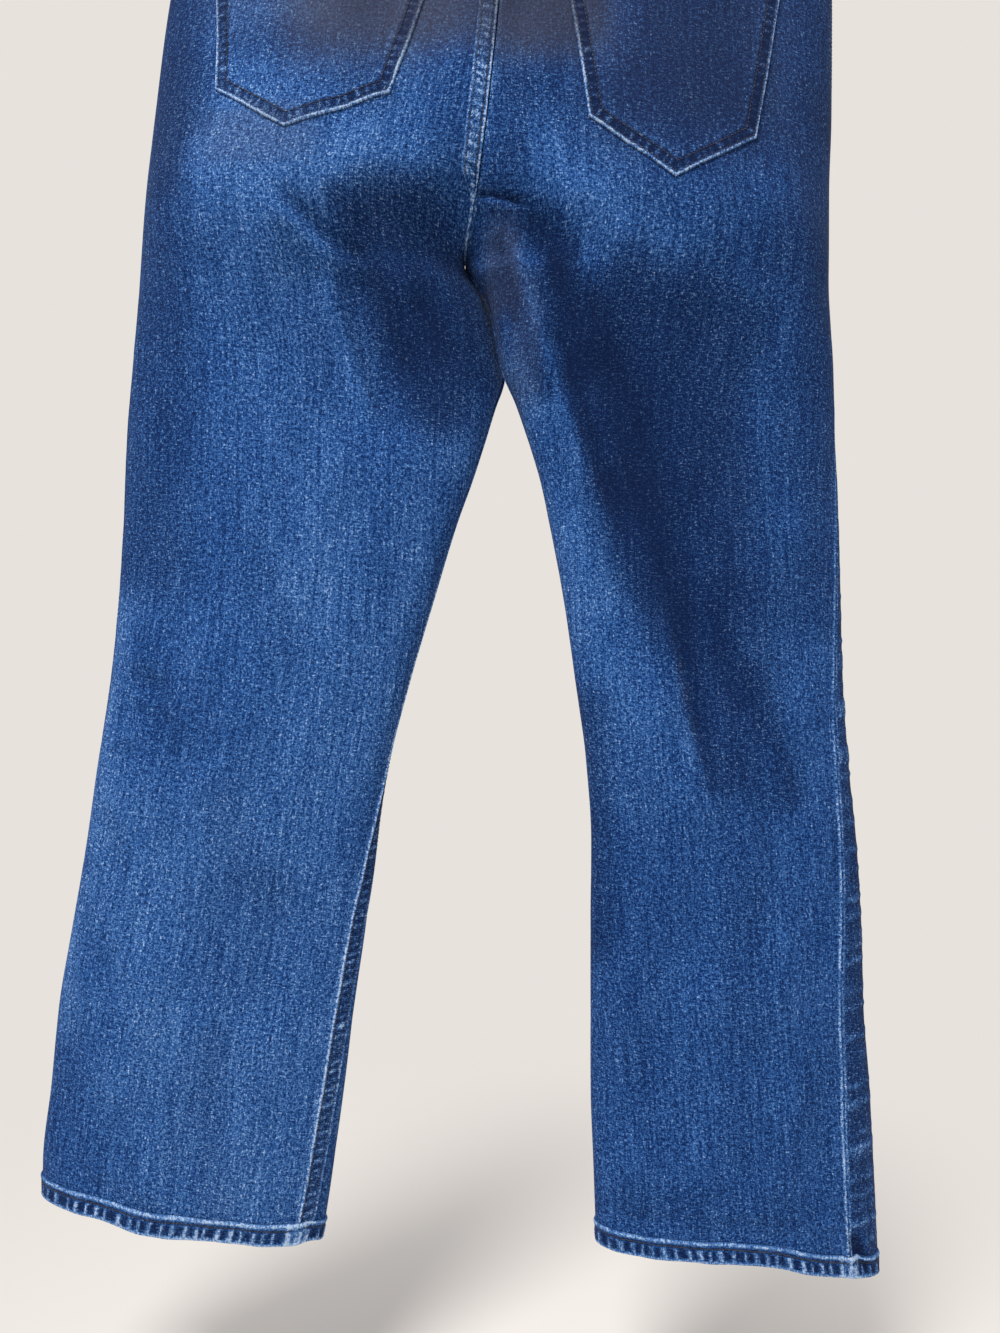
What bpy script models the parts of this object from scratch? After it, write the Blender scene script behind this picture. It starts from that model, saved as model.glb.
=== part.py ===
"""Cropped flare jeans, hanging from the waist and filled out with no wearer.

X runs to the right and -Y towards a viewer who sees the jeans from behind; +Z is up. The origin is the
middle of the waistband's top edge. The tables and sizes are in millimetres, and the objects in metres.

Each half of the jeans, a leg with its half of the seat, is a stack of rings. A ring is named by its level,
the height of its inner end. Above the crotch the rings are cut open at the seat seam and the front rise.
"""

from collections import namedtuple
import math

import bmesh
import bpy
import numpy as np
from mathutils import Vector

MM = 0.001
LEFT = -1
RIGHT = 1

# Cloth and construction sizes
WALL = 1.4
GAP = 0.3
SEAT_SEAM_HALF_GAP = 0.2
SET_BACK_POWER = 6
CROTCH_LEVEL = -332.0
RISE_CURVE_HEIGHT = 130.0
HEM_LEVEL = -1012.0
HEM_HEIGHT = 15.0
HEM_OUTSIDE = 0.7
HEM_INSIDE = -2.1
WAISTBAND_HEIGHT = 38.0
WAISTBAND_OUTSIDE = 0.9
WAISTBAND_INSIDE = -1.7
YOKE_SEAM_AT_BACK = -95.0
YOKE_SEAM_AT_SIDE = -72.0
POCKET_SCOOP_WIDTH = 92.0
POCKET_SCOOP_DEPTH = 80.0
POCKET_SCOOP_FOOT = 6.0
FACING_INSET = 0.6
FLY_WIDTH = 38.0
FLY_LENGTH = 158.0
FLY_ROUND_FROM = 0.72
FLY_FOOT_WIDTH = 5.0
PATCH_WALL = 1.2
PATCH_LIFT = 0.6
BUTTON_RADIUS = 8.5
BUTTON_THICKNESS = 3.0
BUTTON_FROM_EDGE = 15.0
LOOP_WIDTH = 12.0

# Outer silhouette at mid depth: height, left edge, right edge
Outline = namedtuple("Outline", "z left right")
OUTLINE = (
    Outline(20, -189, 183),
    Outline(-20, -201, 192),
    Outline(-60, -214, 205),
    Outline(-100, -226.5, 215),
    Outline(-145, -237.5, 222),
    Outline(-230, -248.5, 221.5),
    Outline(-286, -254, 219.5),
    Outline(-342, -259.6, 219),
    Outline(-398, -264.6, 222.5),
    Outline(-454, -269.2, 224),
    Outline(-510, -271.4, 227.5),
    Outline(-566, -275, 229),
    Outline(-622, -280.8, 230.5),
    Outline(-678, -290, 234.5),
    Outline(-734, -298, 240),
    Outline(-790, -307.5, 243.5),
    Outline(-846, -317, 245),
    Outline(-902, -322.5, 249),
    Outline(-958, -328.5, 252),
    Outline(-1045, -329, 256),
)

# The line where the halves meet down to the crotch, then each leg's inner edge and how far it is set back
Inner = namedtuple("Inner", "level left right left_back right_back")
INNER = (
    Inner(20, 0.5, 0.5, 0, 0),
    Inner(0, 0, 0, 0, 0),
    Inner(-90, -3, -3, 0, 0),
    Inner(-182, -9.5, -9.5, 0, 0),
    Inner(-233, -14.5, -14.5, 0, 0),
    Inner(-272, -19.3, -19.3, 0, 0),
    Inner(-292, -22.7, -22.7, 0, 0),
    Inner(-312, -28.4, -28.4, 0, 0),
    Inner(-332, -33.6, -33.6, 0, 0),
    Inner(-337, -31, -31, 4, -4),
    Inner(-343, -26.6, -27.4, 9, -9),
    Inner(-357, -17.2, -18.4, 10, -10),
    Inner(-378, -10.5, -12.5, 10, -10),
    Inner(-395, -7.5, -9.5, 10, -10),
    Inner(-408, -7, -6.5, 9, -9),
    Inner(-415, -8.5, -3.5, 8, -8),
    Inner(-426, -12.5, 1.5, 6, -6),
    Inner(-454, -21, 10.5, 3, -3),
    Inner(-482, -30, 19, 1, -1),
    Inner(-510, -40, 25, 0, 0),
    Inner(-566, -57, 35.5, 0, 0),
    Inner(-622, -73.5, 43.5, 0, 0),
    Inner(-678, -87.5, 51, 0, 0),
    Inner(-734, -96, 54.5, 0, 0),
    Inner(-790, -102.5, 54, 0, 0),
    Inner(-846, -110.5, 54, 0, 0),
    Inner(-902, -117.5, 54, 0, 0),
    Inner(-958, -125, 56, 0, 0),
    Inner(-1030, -136, 58.5, 0, 0),
)

# Shape of the rings: slope across, depth to the back and front, roundness, how far the front hangs lower,
# and how far round the cloth each leg's seams are turned
Section = namedtuple("Section", "level tilt_left tilt_right back front power front_drop turn_left turn_right")
SECTIONS = (
    Section(20, -0.09, -0.09, 45, 46, 2.2, 26, 0, 0),
    Section(0, -0.09, -0.09, 47, 46, 2.2, 25, 0, 0),
    Section(-60, -0.09, -0.09, 54, 45, 2.2, 20, 0, 0),
    Section(-120, -0.09, -0.09, 61, 43, 2.2, 12, 0, 0),
    Section(-180, -0.09, -0.09, 67, 41, 2.2, 5, 0, 0),
    Section(-240, -0.09, -0.09, 71, 39, 2.2, 0, 0, 0),
    Section(-290, -0.09, -0.09, 71, 38, 2.2, 0, 0, 0),
    Section(-340, -0.09, -0.09, 60, 35, 2.15, 0, 0, 0),
    Section(-375, -0.095, -0.092, 49, 33, 2.1, 0, 0, -1),
    Section(-426, -0.1, -0.095, 37, 30, 2.05, 0, 0, -4),
    Section(-500, -0.11, -0.097, 31, 28, 2, 0, 0, -10),
    Section(-590, -0.12, -0.1, 28, 27, 2, 0, 0, -15),
    Section(-660, -0.13, -0.101, 27, 26, 2, 0, 1, -19),
    Section(-745, -0.14, -0.102, 26, 26, 2, 0, 10, -23),
    Section(-795, -0.145, -0.103, 26, 26, 2, 0, 16, -26),
    Section(-850, -0.15, -0.104, 26.5, 26.5, 2, 0, 18, -28.5),
    Section(-915, -0.16, -0.105, 27, 27, 2, 0, 21, -32),
    Section(-1030, -0.172, -0.107, 28, 27, 2, 0, 25, -33),
)

# Largest folds of the back and the front: ends, sideways bow at the middle, half width, height outward
Fold = namedtuple("Fold", "x0 z0 x1 z1 bow width depth")
BACK_FOLDS = (
    Fold(-128, -300, -62, -470, 10, 38, -11),
    Fold(2, -296, 60, -446, 4, 17, -8),
    Fold(30, -370, 152, -705, -6, 34, -9),
    Fold(-10, -318, 30, -440, 4, 15, 5),
    Fold(120, -330, 170, -560, 0, 44, -5),
    Fold(-215, -560, -190, -800, 0, 34, 3),
    Fold(-150, -745, -172, -870, 0, 24, -5),
    Fold(-262, -600, -205, -690, 4, 20, -4),
    Fold(118, -690, 136, -840, 0, 22, -4),
    Fold(175, -780, 190, -960, 0, 26, 3),
)
FRONT_FOLDS = (
    Fold(-150, -250, -50, -322, 8, 22, -6),
    Fold(110, -245, 0, -325, -8, 22, -6),
    Fold(-95, -330, -170, -440, 8, 20, 5),
    Fold(60, -330, 130, -430, -8, 20, 5),
    Fold(-230, -560, -120, -625, 6, 18, -5),
    Fold(70, -600, 190, -560, 6, 18, -5),
    Fold(-200, -700, -220, -900, 0, 26, -4),
    Fold(140, -700, 160, -900, 0, 26, -4),
)

# Back pockets, their corners as distances round the cloth from the seat seam and levels
Pocket = namedtuple("Pocket", "inner_top outer_top inner_foot outer_foot tip_level")
POCKETS = {
    LEFT: Pocket((30.0, -114.0), (200.0, -106.0), (62.7, -251.0), (181.3, -250.0), -277.0),
    RIGHT: Pocket((29.0, -116.0), (190.0, -108.0), (64.4, -255.0), (176.2, -251.3), -286.7),
}
POCKET_TIP_ACROSS = 0.55

# Belt loop profile: level, distance off the cloth to its inner face
LoopRow = namedtuple("LoopRow", "level off")
LOOP_ROWS = (
    LoopRow(-1, 1.3),
    LoopRow(-8, 2.2),
    LoopRow(-20, 2.7),
    LoopRow(-32, 2.2),
    LoopRow(-40, 1.3),
    LoopRow(-48, 0.5),
)
# Places of the loops from the middle of the back to the middle of the front, negative on the left
LOOP_SHARES = (-0.77, -0.3, 0.0, 0.3, 0.77)

# Panel grid
PANEL_COLUMNS = 14
END_CROWDING = 0.8
UPPER_ROWS = (0.0, 0.5)
TORSO_LEVELS = (-140, -172, -202, -230, -254, -274, -291, -305, -316, -324, -329, -332)
LEG_LEVELS = (-337, -343, -350, -358, -370, -386, -405, -418, -434, -458, -490, -530, -575, -622, -670, -718, -766,
              -814, -862, -910, -955)
SCOOP_ROWS = (0.0, 0.35, 0.62, 0.82, 0.95, 1.0)

Finish = namedtuple("Finish", "colour roughness metallic")
DENIM = Finish((0.035, 0.115, 0.27), 0.88, 0.0)
DENIM_DARK = Finish((0.025, 0.08, 0.2), 0.9, 0.0)
BUTTON_METAL = Finish((0.42, 0.33, 0.2), 0.38, 0.9)


def smooth_column(rows, key, column):
    """A smooth function through one column of a table, which never overshoots its rows."""
    pairs = sorted((getattr(row, key), getattr(row, column)) for row in rows)
    x = np.array([pair[0] for pair in pairs], float)
    y = np.array([pair[1] for pair in pairs], float)
    step = np.diff(x)
    rate = np.diff(y) / step
    slope = np.zeros(len(x))
    for i in range(1, len(x) - 1):
        if rate[i - 1] * rate[i] > 0:
            before = 2 * step[i] + step[i - 1]
            after = step[i] + 2 * step[i - 1]
            slope[i] = (before + after) / (before / rate[i - 1] + after / rate[i])
    slope[0] = rate[0]
    slope[-1] = rate[-1]

    def value(at):
        at = np.clip(np.asarray(at, float), x[0], x[-1])
        i = np.clip(np.searchsorted(x, at) - 1, 0, len(x) - 2)
        t = (at - x[i]) / step[i]
        rise = (3 - 2 * t) * t * t
        start = step[i] * slope[i] * t * (1 - t) ** 2
        end = step[i] * slope[i + 1] * t * t * (t - 1)
        return y[i] + (y[i + 1] - y[i]) * rise + start + end

    return value


def ease(t):
    """Smooth step from 0 to 1."""
    t = np.clip(t, 0, 1)
    return t * t * (3 - 2 * t)


def fold_height(folds, x, z):
    """How far the folds of one face stand out of its smooth form at a place on it."""
    total = np.zeros(np.broadcast(x, z).shape)
    for fold in folds:
        run_x = fold.x1 - fold.x0
        run_z = fold.z1 - fold.z0
        length = math.hypot(run_x, run_z)
        along = ((x - fold.x0) * run_x + (z - fold.z0) * run_z) / length ** 2
        across = ((x - fold.x0) * run_z - (z - fold.z0) * run_x) / length
        across = across - fold.bow * 4 * along * (1 - along)
        fade = ease(along / 0.3) * ease((1 - along) / 0.3)
        total = total + fold.depth * fade * np.exp(-(across / fold.width) ** 2)
    return total


class Half:
    """One leg with its half of the seat, as rings with distances measured round the cloth.

    A distance starts at the seat seam, or at the leg's inner end, runs over the back to the outer edge and
    returns over the front."""

    def __init__(self, side):
        self.side = side
        name = "left" if side == LEFT else "right"
        self.outer = smooth_column(OUTLINE, "z", name)
        self.inner = smooth_column(INNER, "level", name)
        self.set_back = smooth_column(INNER, "level", name + "_back")
        self.tilt = smooth_column(SECTIONS, "level", "tilt_" + name)
        self.turn = smooth_column(SECTIONS, "level", "turn_" + name)
        self.back = smooth_column(SECTIONS, "level", "back")
        self.front = smooth_column(SECTIONS, "level", "front")
        self.power = smooth_column(SECTIONS, "level", "power")
        self.front_drop = smooth_column(SECTIONS, "level", "front_drop")
        self.measure()

    def reach(self, level):
        """How far each half ring would run on past the seat seam, as a share of its width to that seam."""
        return ease((np.asarray(level, float) - CROTCH_LEVEL) / RISE_CURVE_HEIGHT)

    def last_angle(self, level):
        """Angle at which the half ring stops: half a turn on a leg, a quarter turn high on the seat."""
        reach = self.reach(level)
        cut = (1 - reach) / (1 + reach)
        return math.pi - np.arccos(cut ** (self.power(level) / 2))

    def ends(self, level):
        """The ring's outer end and its inner end, which lies past the seat seam above the crotch."""
        x_in = self.inner(level) + self.side * SEAT_SEAM_HALF_GAP
        x_out = self.outer(level)
        for _ in range(8):
            z_out = level + self.tilt(level) * (x_out - x_in)
            x_out = self.outer(z_out)
        reach = self.reach(level)
        return x_out, z_out, x_in + reach * (x_in - x_out), level + reach * (level - z_out)

    def point(self, level, angle, folded=True):
        """A place on the outside of the cloth; angles are 0 at the outer end and positive on the back."""
        level = np.asarray(level, float)
        x_out, z_out, x_in, z_in = self.ends(level)
        power = self.power(level)
        cosine = np.cos(angle)
        along = np.sign(cosine) * np.abs(cosine) ** (2 / power)
        deep = np.abs(np.sin(angle)) ** (2 / power)
        on_back = np.sin(angle) >= 0
        x = (x_out + x_in) / 2 + (x_out - x_in) / 2 * along
        z = (z_out + z_in) / 2 + (z_out - z_in) / 2 * along
        z = z - np.where(on_back, 0, self.front_drop(level) * deep)
        y = np.where(on_back, -self.back(level), self.front(level)) * deep
        y = y + self.set_back(level) * ((1 - along) / 2) ** SET_BACK_POWER
        if folded:
            back = fold_height(BACK_FOLDS, x, z)
            front = fold_height(FRONT_FOLDS, x, z)
            y = y + np.where(on_back, -back, front) * deep
        return np.stack([x, y, z], axis=-1)

    def measure(self):
        """Measure each ring, so that a place can be found by its distance round the cloth."""
        above = CROTCH_LEVEL + np.array([0, 0.5, 1.5, 3, 5, 8, 12])
        self.levels = np.concatenate([np.linspace(-1020, CROTCH_LEVEL - 4, 100), above,
                                      np.linspace(CROTCH_LEVEL + 18, 10, 60)])
        ratio = np.linspace(1, -1, 361)
        self.shares = np.linspace(0, 1, 181)
        self.ratios = []
        self.back_lengths = []
        self.whole_lengths = []
        for level in self.levels:
            points = self.point(level, ratio * self.last_angle(level), folded=False)
            run = np.concatenate([[0], np.cumsum(np.linalg.norm(np.diff(points, axis=0), axis=1))])
            self.ratios.append(np.interp(self.shares, run / run[-1], ratio))
            self.back_lengths.append(run[180])
            self.whole_lengths.append(run[-1])
        self.ratios = np.array(self.ratios)

    def back_length(self, level):
        return np.interp(level, self.levels, self.back_lengths)

    def whole_length(self, level):
        return np.interp(level, self.levels, self.whole_lengths)

    def at(self, level, arc):
        """The place at a level, a distance round the cloth from the seat seam or the inner end."""
        level, arc = np.broadcast_arrays(np.asarray(level, float), np.asarray(arc, float))
        share = arc / self.whole_length(level)
        share = np.where(level < CROTCH_LEVEL, share % 1.0, np.clip(share, 0, 1))
        row = np.clip(np.searchsorted(self.levels, level) - 1, 0, len(self.levels) - 2)
        up = np.clip((level - self.levels[row]) / (self.levels[row + 1] - self.levels[row]), 0, 1)
        place = share * (len(self.shares) - 1)
        column = np.clip(place.astype(int), 0, len(self.shares) - 2)
        on = place - column
        table = self.ratios
        low = table[row, column] * (1 - on) + table[row, column + 1] * on
        high = table[row + 1, column] * (1 - on) + table[row + 1, column + 1] * on
        return self.point(level, (low * (1 - up) + high * up) * self.last_angle(level))

    def outward(self, level, arc):
        """The cloth's outward direction at a place."""
        across = self.at(level, arc + 1.2) - self.at(level, arc - 1.2)
        upward = self.at(level + 1.5, arc) - self.at(level - 1.5, arc)
        normal = np.cross(across, upward) * self.side
        return normal / np.linalg.norm(normal, axis=-1, keepdims=True)

    def seams(self, level):
        """Distances to the back panel's two edges: the seat seam or inseam, and the outseam."""
        turn = self.turn(level)
        inseam = np.where(np.asarray(level) < CROTCH_LEVEL, turn, 0)
        return inseam, self.back_length(level) + turn


HALVES = {LEFT: Half(LEFT), RIGHT: Half(RIGHT)}


def material(name, finish):
    made = bpy.data.materials.new(name)
    made.use_nodes = True
    shader = made.node_tree.nodes["Principled BSDF"]
    shader.inputs["Base Color"].default_value = (*finish.colour, 1)
    shader.inputs["Roughness"].default_value = finish.roughness
    shader.inputs["Metallic"].default_value = finish.metallic
    return made


def add_object(name, mesh, finish):
    mesh.materials.append(material(name + "_material", finish))
    mesh.shade_smooth()
    mesh.set_sharp_from_angle(angle=math.radians(50))
    made = bpy.data.objects.new(name, mesh)
    bpy.context.scene.collection.objects.link(made)
    return made


def wall_object(name, outside, inside, finish, closed=False):
    """One closed solid between two grids of points; a closed grid joins its last column to its first."""
    rows, columns = outside.shape[:2]
    mesh = bpy.data.meshes.new(name)
    points = np.concatenate([outside.reshape(-1, 3), inside.reshape(-1, 3)]) * MM
    layer = rows * columns

    def number(row, column, face):
        return face * layer + row * columns + column % columns

    faces = []
    spans = columns if closed else columns - 1
    for row in range(rows - 1):
        for column in range(spans):
            corners = [(row, column), (row, column + 1), (row + 1, column + 1), (row + 1, column)]
            faces.append([number(r, c, 0) for r, c in corners])
            faces.append([number(r, c, 1) for r, c in reversed(corners)])
    for column in range(spans):
        for row in (0, rows - 1):
            faces.append([number(row, column, 0), number(row, column, 1),
                          number(row, column + 1, 1), number(row, column + 1, 0)])
    if not closed:
        for row in range(rows - 1):
            for column in (0, columns - 1):
                faces.append([number(row, column, 0), number(row, column, 1),
                              number(row + 1, column, 1), number(row + 1, column, 0)])
    mesh.from_pydata(points.tolist(), [], faces)
    builder = bmesh.new()
    builder.from_mesh(mesh)
    bmesh.ops.recalc_face_normals(builder, faces=builder.faces[:])
    builder.to_mesh(mesh)
    builder.free()
    return add_object(name, mesh, finish)


def cloth(name, half, level, arc, finish, outside=0.0, inside=-WALL):
    """A piece of cloth from grids of levels and distances round one half."""
    level, arc = np.broadcast_arrays(level, arc)
    place = half.at(level, arc)
    normal = half.outward(level, arc)
    return wall_object(name, place + normal * np.asarray(outside)[..., None],
                       place + normal * np.asarray(inside)[..., None], finish)


def crowded(count):
    """Shares from 0 to 1 that lie closer together at both ends, where the cloth turns most."""
    even = np.linspace(0, 1, count + 1)
    return even * (1 - END_CROWDING) + (1 - np.cos(math.pi * even)) / 2 * END_CROWDING


def yoke_seam(share):
    return YOKE_SEAM_AT_BACK + (YOKE_SEAM_AT_SIDE - YOKE_SEAM_AT_BACK) * share


def back_panel(name, half):
    """From the yoke to the hem, and from the seat seam and inseam to the outseam."""
    share = crowded(PANEL_COLUMNS)
    top = yoke_seam(share) - GAP / 2
    upper = [top + (TORSO_LEVELS[0] - top) * part for part in UPPER_ROWS]
    foot = HEM_LEVEL + HEM_HEIGHT + GAP
    lower = [np.full(len(share), float(level)) for level in TORSO_LEVELS + LEG_LEVELS + (foot,)]
    level = np.array(upper + lower)
    start, end = half.seams(level)
    start = start + GAP / 2
    end = end - GAP / 2
    return cloth(name, half, level, start + (end - start) * share, DENIM)


def front_panel(name, half):
    """From the waistband to the hem, with its upper outer corner cut away for the pocket opening."""
    share = crowded(PANEL_COLUMNS)
    top = -WAISTBAND_HEIGHT - GAP
    rows = [(top - POCKET_SCOOP_DEPTH * down, scoop_width(down)) for down in SCOOP_ROWS]
    foot = HEM_LEVEL + HEM_HEIGHT + GAP
    below = (rows[-1][0] - GAP - 0.3,) + TORSO_LEVELS + LEG_LEVELS + (foot,)
    rows += [(float(level), 0.0) for level in below]
    level = np.array([row[0] for row in rows])[:, None] + np.zeros(len(share))
    start, end = half.seams(level)
    end = end + np.array([row[1] for row in rows])[:, None] + GAP / 2
    start = half.whole_length(level) + start - GAP / 2
    return cloth(name, half, level, end + (start - end) * share, DENIM)


def scoop_width(down):
    """Width of the pocket opening's cut, from the side seam, a share of the way down it."""
    return max(POCKET_SCOOP_WIDTH * math.sqrt(1 - down ** 2), POCKET_SCOOP_FOOT)


def pocket_facing(name, half):
    """The piece that shows in the front pocket's opening."""
    share = np.linspace(0, 1, 6)
    foot = -WAISTBAND_HEIGHT - GAP - POCKET_SCOOP_DEPTH
    level = np.array([foot + (POCKET_SCOOP_DEPTH - GAP) * (1 - down) for down in SCOOP_ROWS])[:, None]
    level = level + np.zeros(len(share))
    side = half.seams(level)[1] + GAP / 2
    width = np.array([scoop_width(down) for down in SCOOP_ROWS])[:, None] - GAP
    return cloth(name, half, level, side + width * share, DENIM_DARK, -FACING_INSET, -FACING_INSET - PATCH_WALL)


def yoke(name, half):
    """The back yoke, deeper at the middle of the back than at the side."""
    share = crowded(PANEL_COLUMNS)
    top = -WAISTBAND_HEIGHT - GAP
    foot = yoke_seam(share) + GAP / 2
    level = top + (foot - top) * np.linspace(0, 1, 4)[:, None]
    start, end = half.seams(level)
    return cloth(name, half, level, start + GAP / 2 + (end - start - GAP) * share, DENIM)


def back_pocket(name, half):
    """The five-sided patch pocket, laid on the back panel."""
    pocket = POCKETS[half.side]
    to_tip = np.linspace(0, POCKET_TIP_ACROSS, 7)
    across = np.concatenate([to_tip, np.linspace(POCKET_TIP_ACROSS, 1, 7)[1:]])
    down = np.linspace(0, 1, 9)[:, None]
    inner = pocket.inner_top[0] + (pocket.inner_foot[0] - pocket.inner_top[0]) * down
    outer = pocket.outer_top[0] + (pocket.outer_foot[0] - pocket.outer_top[0]) * down
    top = pocket.inner_top[1] + (pocket.outer_top[1] - pocket.inner_top[1]) * across
    to_inner = pocket.inner_foot[1] + (pocket.tip_level - pocket.inner_foot[1]) * across / POCKET_TIP_ACROSS
    to_outer = pocket.tip_level + (pocket.outer_foot[1] - pocket.tip_level) * (
        (across - POCKET_TIP_ACROSS) / (1 - POCKET_TIP_ACROSS))
    foot = np.where(across <= POCKET_TIP_ACROSS, to_inner, to_outer)
    level = top + (foot - top) * down
    arc = inner + (outer - inner) * across
    return cloth(name, half, level, arc, DENIM, PATCH_LIFT + PATCH_WALL, PATCH_LIFT)


def waistband():
    """One strip round the waist, whose ends meet at the middle of the front."""
    rows = np.linspace(0, -WAISTBAND_HEIGHT, 4)[:, None]
    strips = []
    for side in (RIGHT, LEFT):
        half = HALVES[side]
        share = np.concatenate([crowded(PANEL_COLUMNS) * 0.5, 0.5 + crowded(PANEL_COLUMNS)[1:] * 0.5])
        back = half.back_length(rows)
        whole = half.whole_length(rows) - GAP / 2
        arc = np.where(share <= 0.5, share * 2 * back, back + (share - 0.5) * 2 * (whole - back))
        level = rows + np.zeros(len(share))
        place = half.at(level, arc)
        normal = half.outward(level, arc)
        grid = np.stack([place + normal * WAISTBAND_OUTSIDE, place + normal * WAISTBAND_INSIDE])
        strips.append(grid[:, :, ::-1] if side == RIGHT else grid[:, :, 1:])
    outside, inside = np.concatenate(strips, axis=2)
    return wall_object("waistband", outside, inside, DENIM)


def around_waist(share, offset, level):
    """Place and outward direction at a share of the way to the front's middle, negative on the left."""
    place = np.zeros(level.shape + (3,))
    normal = np.zeros(level.shape + (3,))
    for side, half in HALVES.items():
        arc = (share * half.whole_length(level) + offset) * side
        mine = arc >= 0
        place[mine] = half.at(level, arc)[mine]
        normal[mine] = half.outward(level, arc + 1.5)[mine]
    return place, normal


def belt_loop(name, share):
    """A narrow strip that bows off the waistband, from its top edge to just below it."""
    across = np.linspace(-LOOP_WIDTH / 2, LOOP_WIDTH / 2, 4)
    level = np.array([row.level for row in LOOP_ROWS], float)[:, None] + np.zeros(len(across))
    off = np.array([row.off for row in LOOP_ROWS])[:, None, None]
    place, normal = around_waist(share, across + np.zeros(level.shape), level)
    return wall_object(name, place + normal * (off + PATCH_WALL), place + normal * off, DENIM)


def fly():
    """The doubled strip beside the front opening, on the wearer's left, rounded at its foot."""
    half = HALVES[LEFT]
    across = np.linspace(0, 1, 6)
    down = np.linspace(0, 1, 10)[:, None]
    level = -WAISTBAND_HEIGHT - 2 * GAP - FLY_LENGTH * down + np.zeros(len(across))
    bend = np.clip((down - FLY_ROUND_FROM) / (1 - FLY_ROUND_FROM), 0, 1)
    width = np.maximum(FLY_WIDTH * np.sqrt(1 - bend ** 2), FLY_FOOT_WIDTH)
    arc = half.whole_length(level) - 2 * GAP - width * (1 - across)
    return cloth("fly", half, level, arc, DENIM, PATCH_LIFT + PATCH_WALL, PATCH_LIFT)


def button():
    """A plain domed metal button on the wearer's left end of the waistband."""
    half = HALVES[LEFT]
    level = -WAISTBAND_HEIGHT / 2
    arc = half.whole_length(level) - BUTTON_FROM_EDGE
    place = half.at(level, arc)
    normal = half.outward(level, arc)
    profile = ((0.0, 0.0), (0.8, 0.0), (1.0, 0.25), (1.0, 0.6), (0.86, 0.86), (0.5, 1.0), (0.0, 1.0))
    builder = bmesh.new()
    line = [builder.verts.new((out * BUTTON_RADIUS * MM, 0, up * BUTTON_THICKNESS * MM)) for out, up in profile]
    edges = [builder.edges.new((line[i], line[i + 1])) for i in range(len(line) - 1)]
    bmesh.ops.spin(builder, geom=line + edges, cent=(0, 0, 0), axis=(0, 0, 1), angle=math.tau, steps=24,
                   use_duplicate=False)
    bmesh.ops.remove_doubles(builder, verts=builder.verts[:], dist=0.00001)
    bmesh.ops.recalc_face_normals(builder, faces=builder.faces[:])
    mesh = bpy.data.meshes.new("button")
    builder.to_mesh(mesh)
    builder.free()
    made = add_object("button", mesh, BUTTON_METAL)
    made.location = Vector((place + normal * (WAISTBAND_OUTSIDE + GAP + 0.3)) * MM)
    made.rotation_euler = Vector(normal).to_track_quat("Z", "Y").to_euler()
    return made


def hem(name, half):
    """The turned-up hem, a band of three thicknesses round the foot of the leg."""
    share = np.concatenate([crowded(PANEL_COLUMNS)[:-1] * 0.5, 0.5 + crowded(PANEL_COLUMNS)[:-1] * 0.5])
    rows = np.linspace(HEM_LEVEL + HEM_HEIGHT, HEM_LEVEL, 3)[:, None]
    level = rows + np.zeros(len(share))
    arc = share * half.whole_length(level)
    place = half.at(level, arc)
    normal = half.outward(level, arc)
    return wall_object(name, place + normal * HEM_OUTSIDE, place + normal * HEM_INSIDE, DENIM, closed=True)


def main():
    for old in list(bpy.data.objects):
        bpy.data.objects.remove(old)
    for side, word in ((LEFT, "left"), (RIGHT, "right")):
        half = HALVES[side]
        back_panel("back_" + word, half)
        front_panel("front_" + word, half)
        yoke("yoke_" + word, half)
        pocket_facing("front_pocket_facing_" + word, half)
        back_pocket("back_pocket_" + word, half)
        hem("hem_" + word, half)
    waistband()
    for number, share in enumerate(LOOP_SHARES, 1):
        belt_loop("belt_loop_" + str(number), share)
    fly()
    button()


main()
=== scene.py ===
"""Looks of the cropped flare jeans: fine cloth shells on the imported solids, their sewing and their denim.

X runs to the right and -Y towards the camera, which sees the jeans from behind; +Z is up. The origin is the
middle of the waistband's top edge. The tables and sizes are in millimetres, and the objects in metres.
"""

from collections import namedtuple
import math

import bpy
import numpy as np
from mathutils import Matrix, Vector


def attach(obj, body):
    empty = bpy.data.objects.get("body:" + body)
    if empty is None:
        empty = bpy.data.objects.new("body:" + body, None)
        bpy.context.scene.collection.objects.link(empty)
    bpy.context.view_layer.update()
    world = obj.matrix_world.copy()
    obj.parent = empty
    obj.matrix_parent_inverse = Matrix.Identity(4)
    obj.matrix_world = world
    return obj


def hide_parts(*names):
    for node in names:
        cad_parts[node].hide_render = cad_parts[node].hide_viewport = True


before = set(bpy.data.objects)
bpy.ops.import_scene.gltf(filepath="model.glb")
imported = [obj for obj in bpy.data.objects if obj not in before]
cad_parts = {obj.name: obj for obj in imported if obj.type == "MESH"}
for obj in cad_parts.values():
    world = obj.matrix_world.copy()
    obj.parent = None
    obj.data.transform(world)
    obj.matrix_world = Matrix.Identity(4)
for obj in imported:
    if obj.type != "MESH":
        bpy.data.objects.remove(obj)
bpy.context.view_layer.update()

MM = 0.001
LEFT = -1
RIGHT = 1

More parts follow.
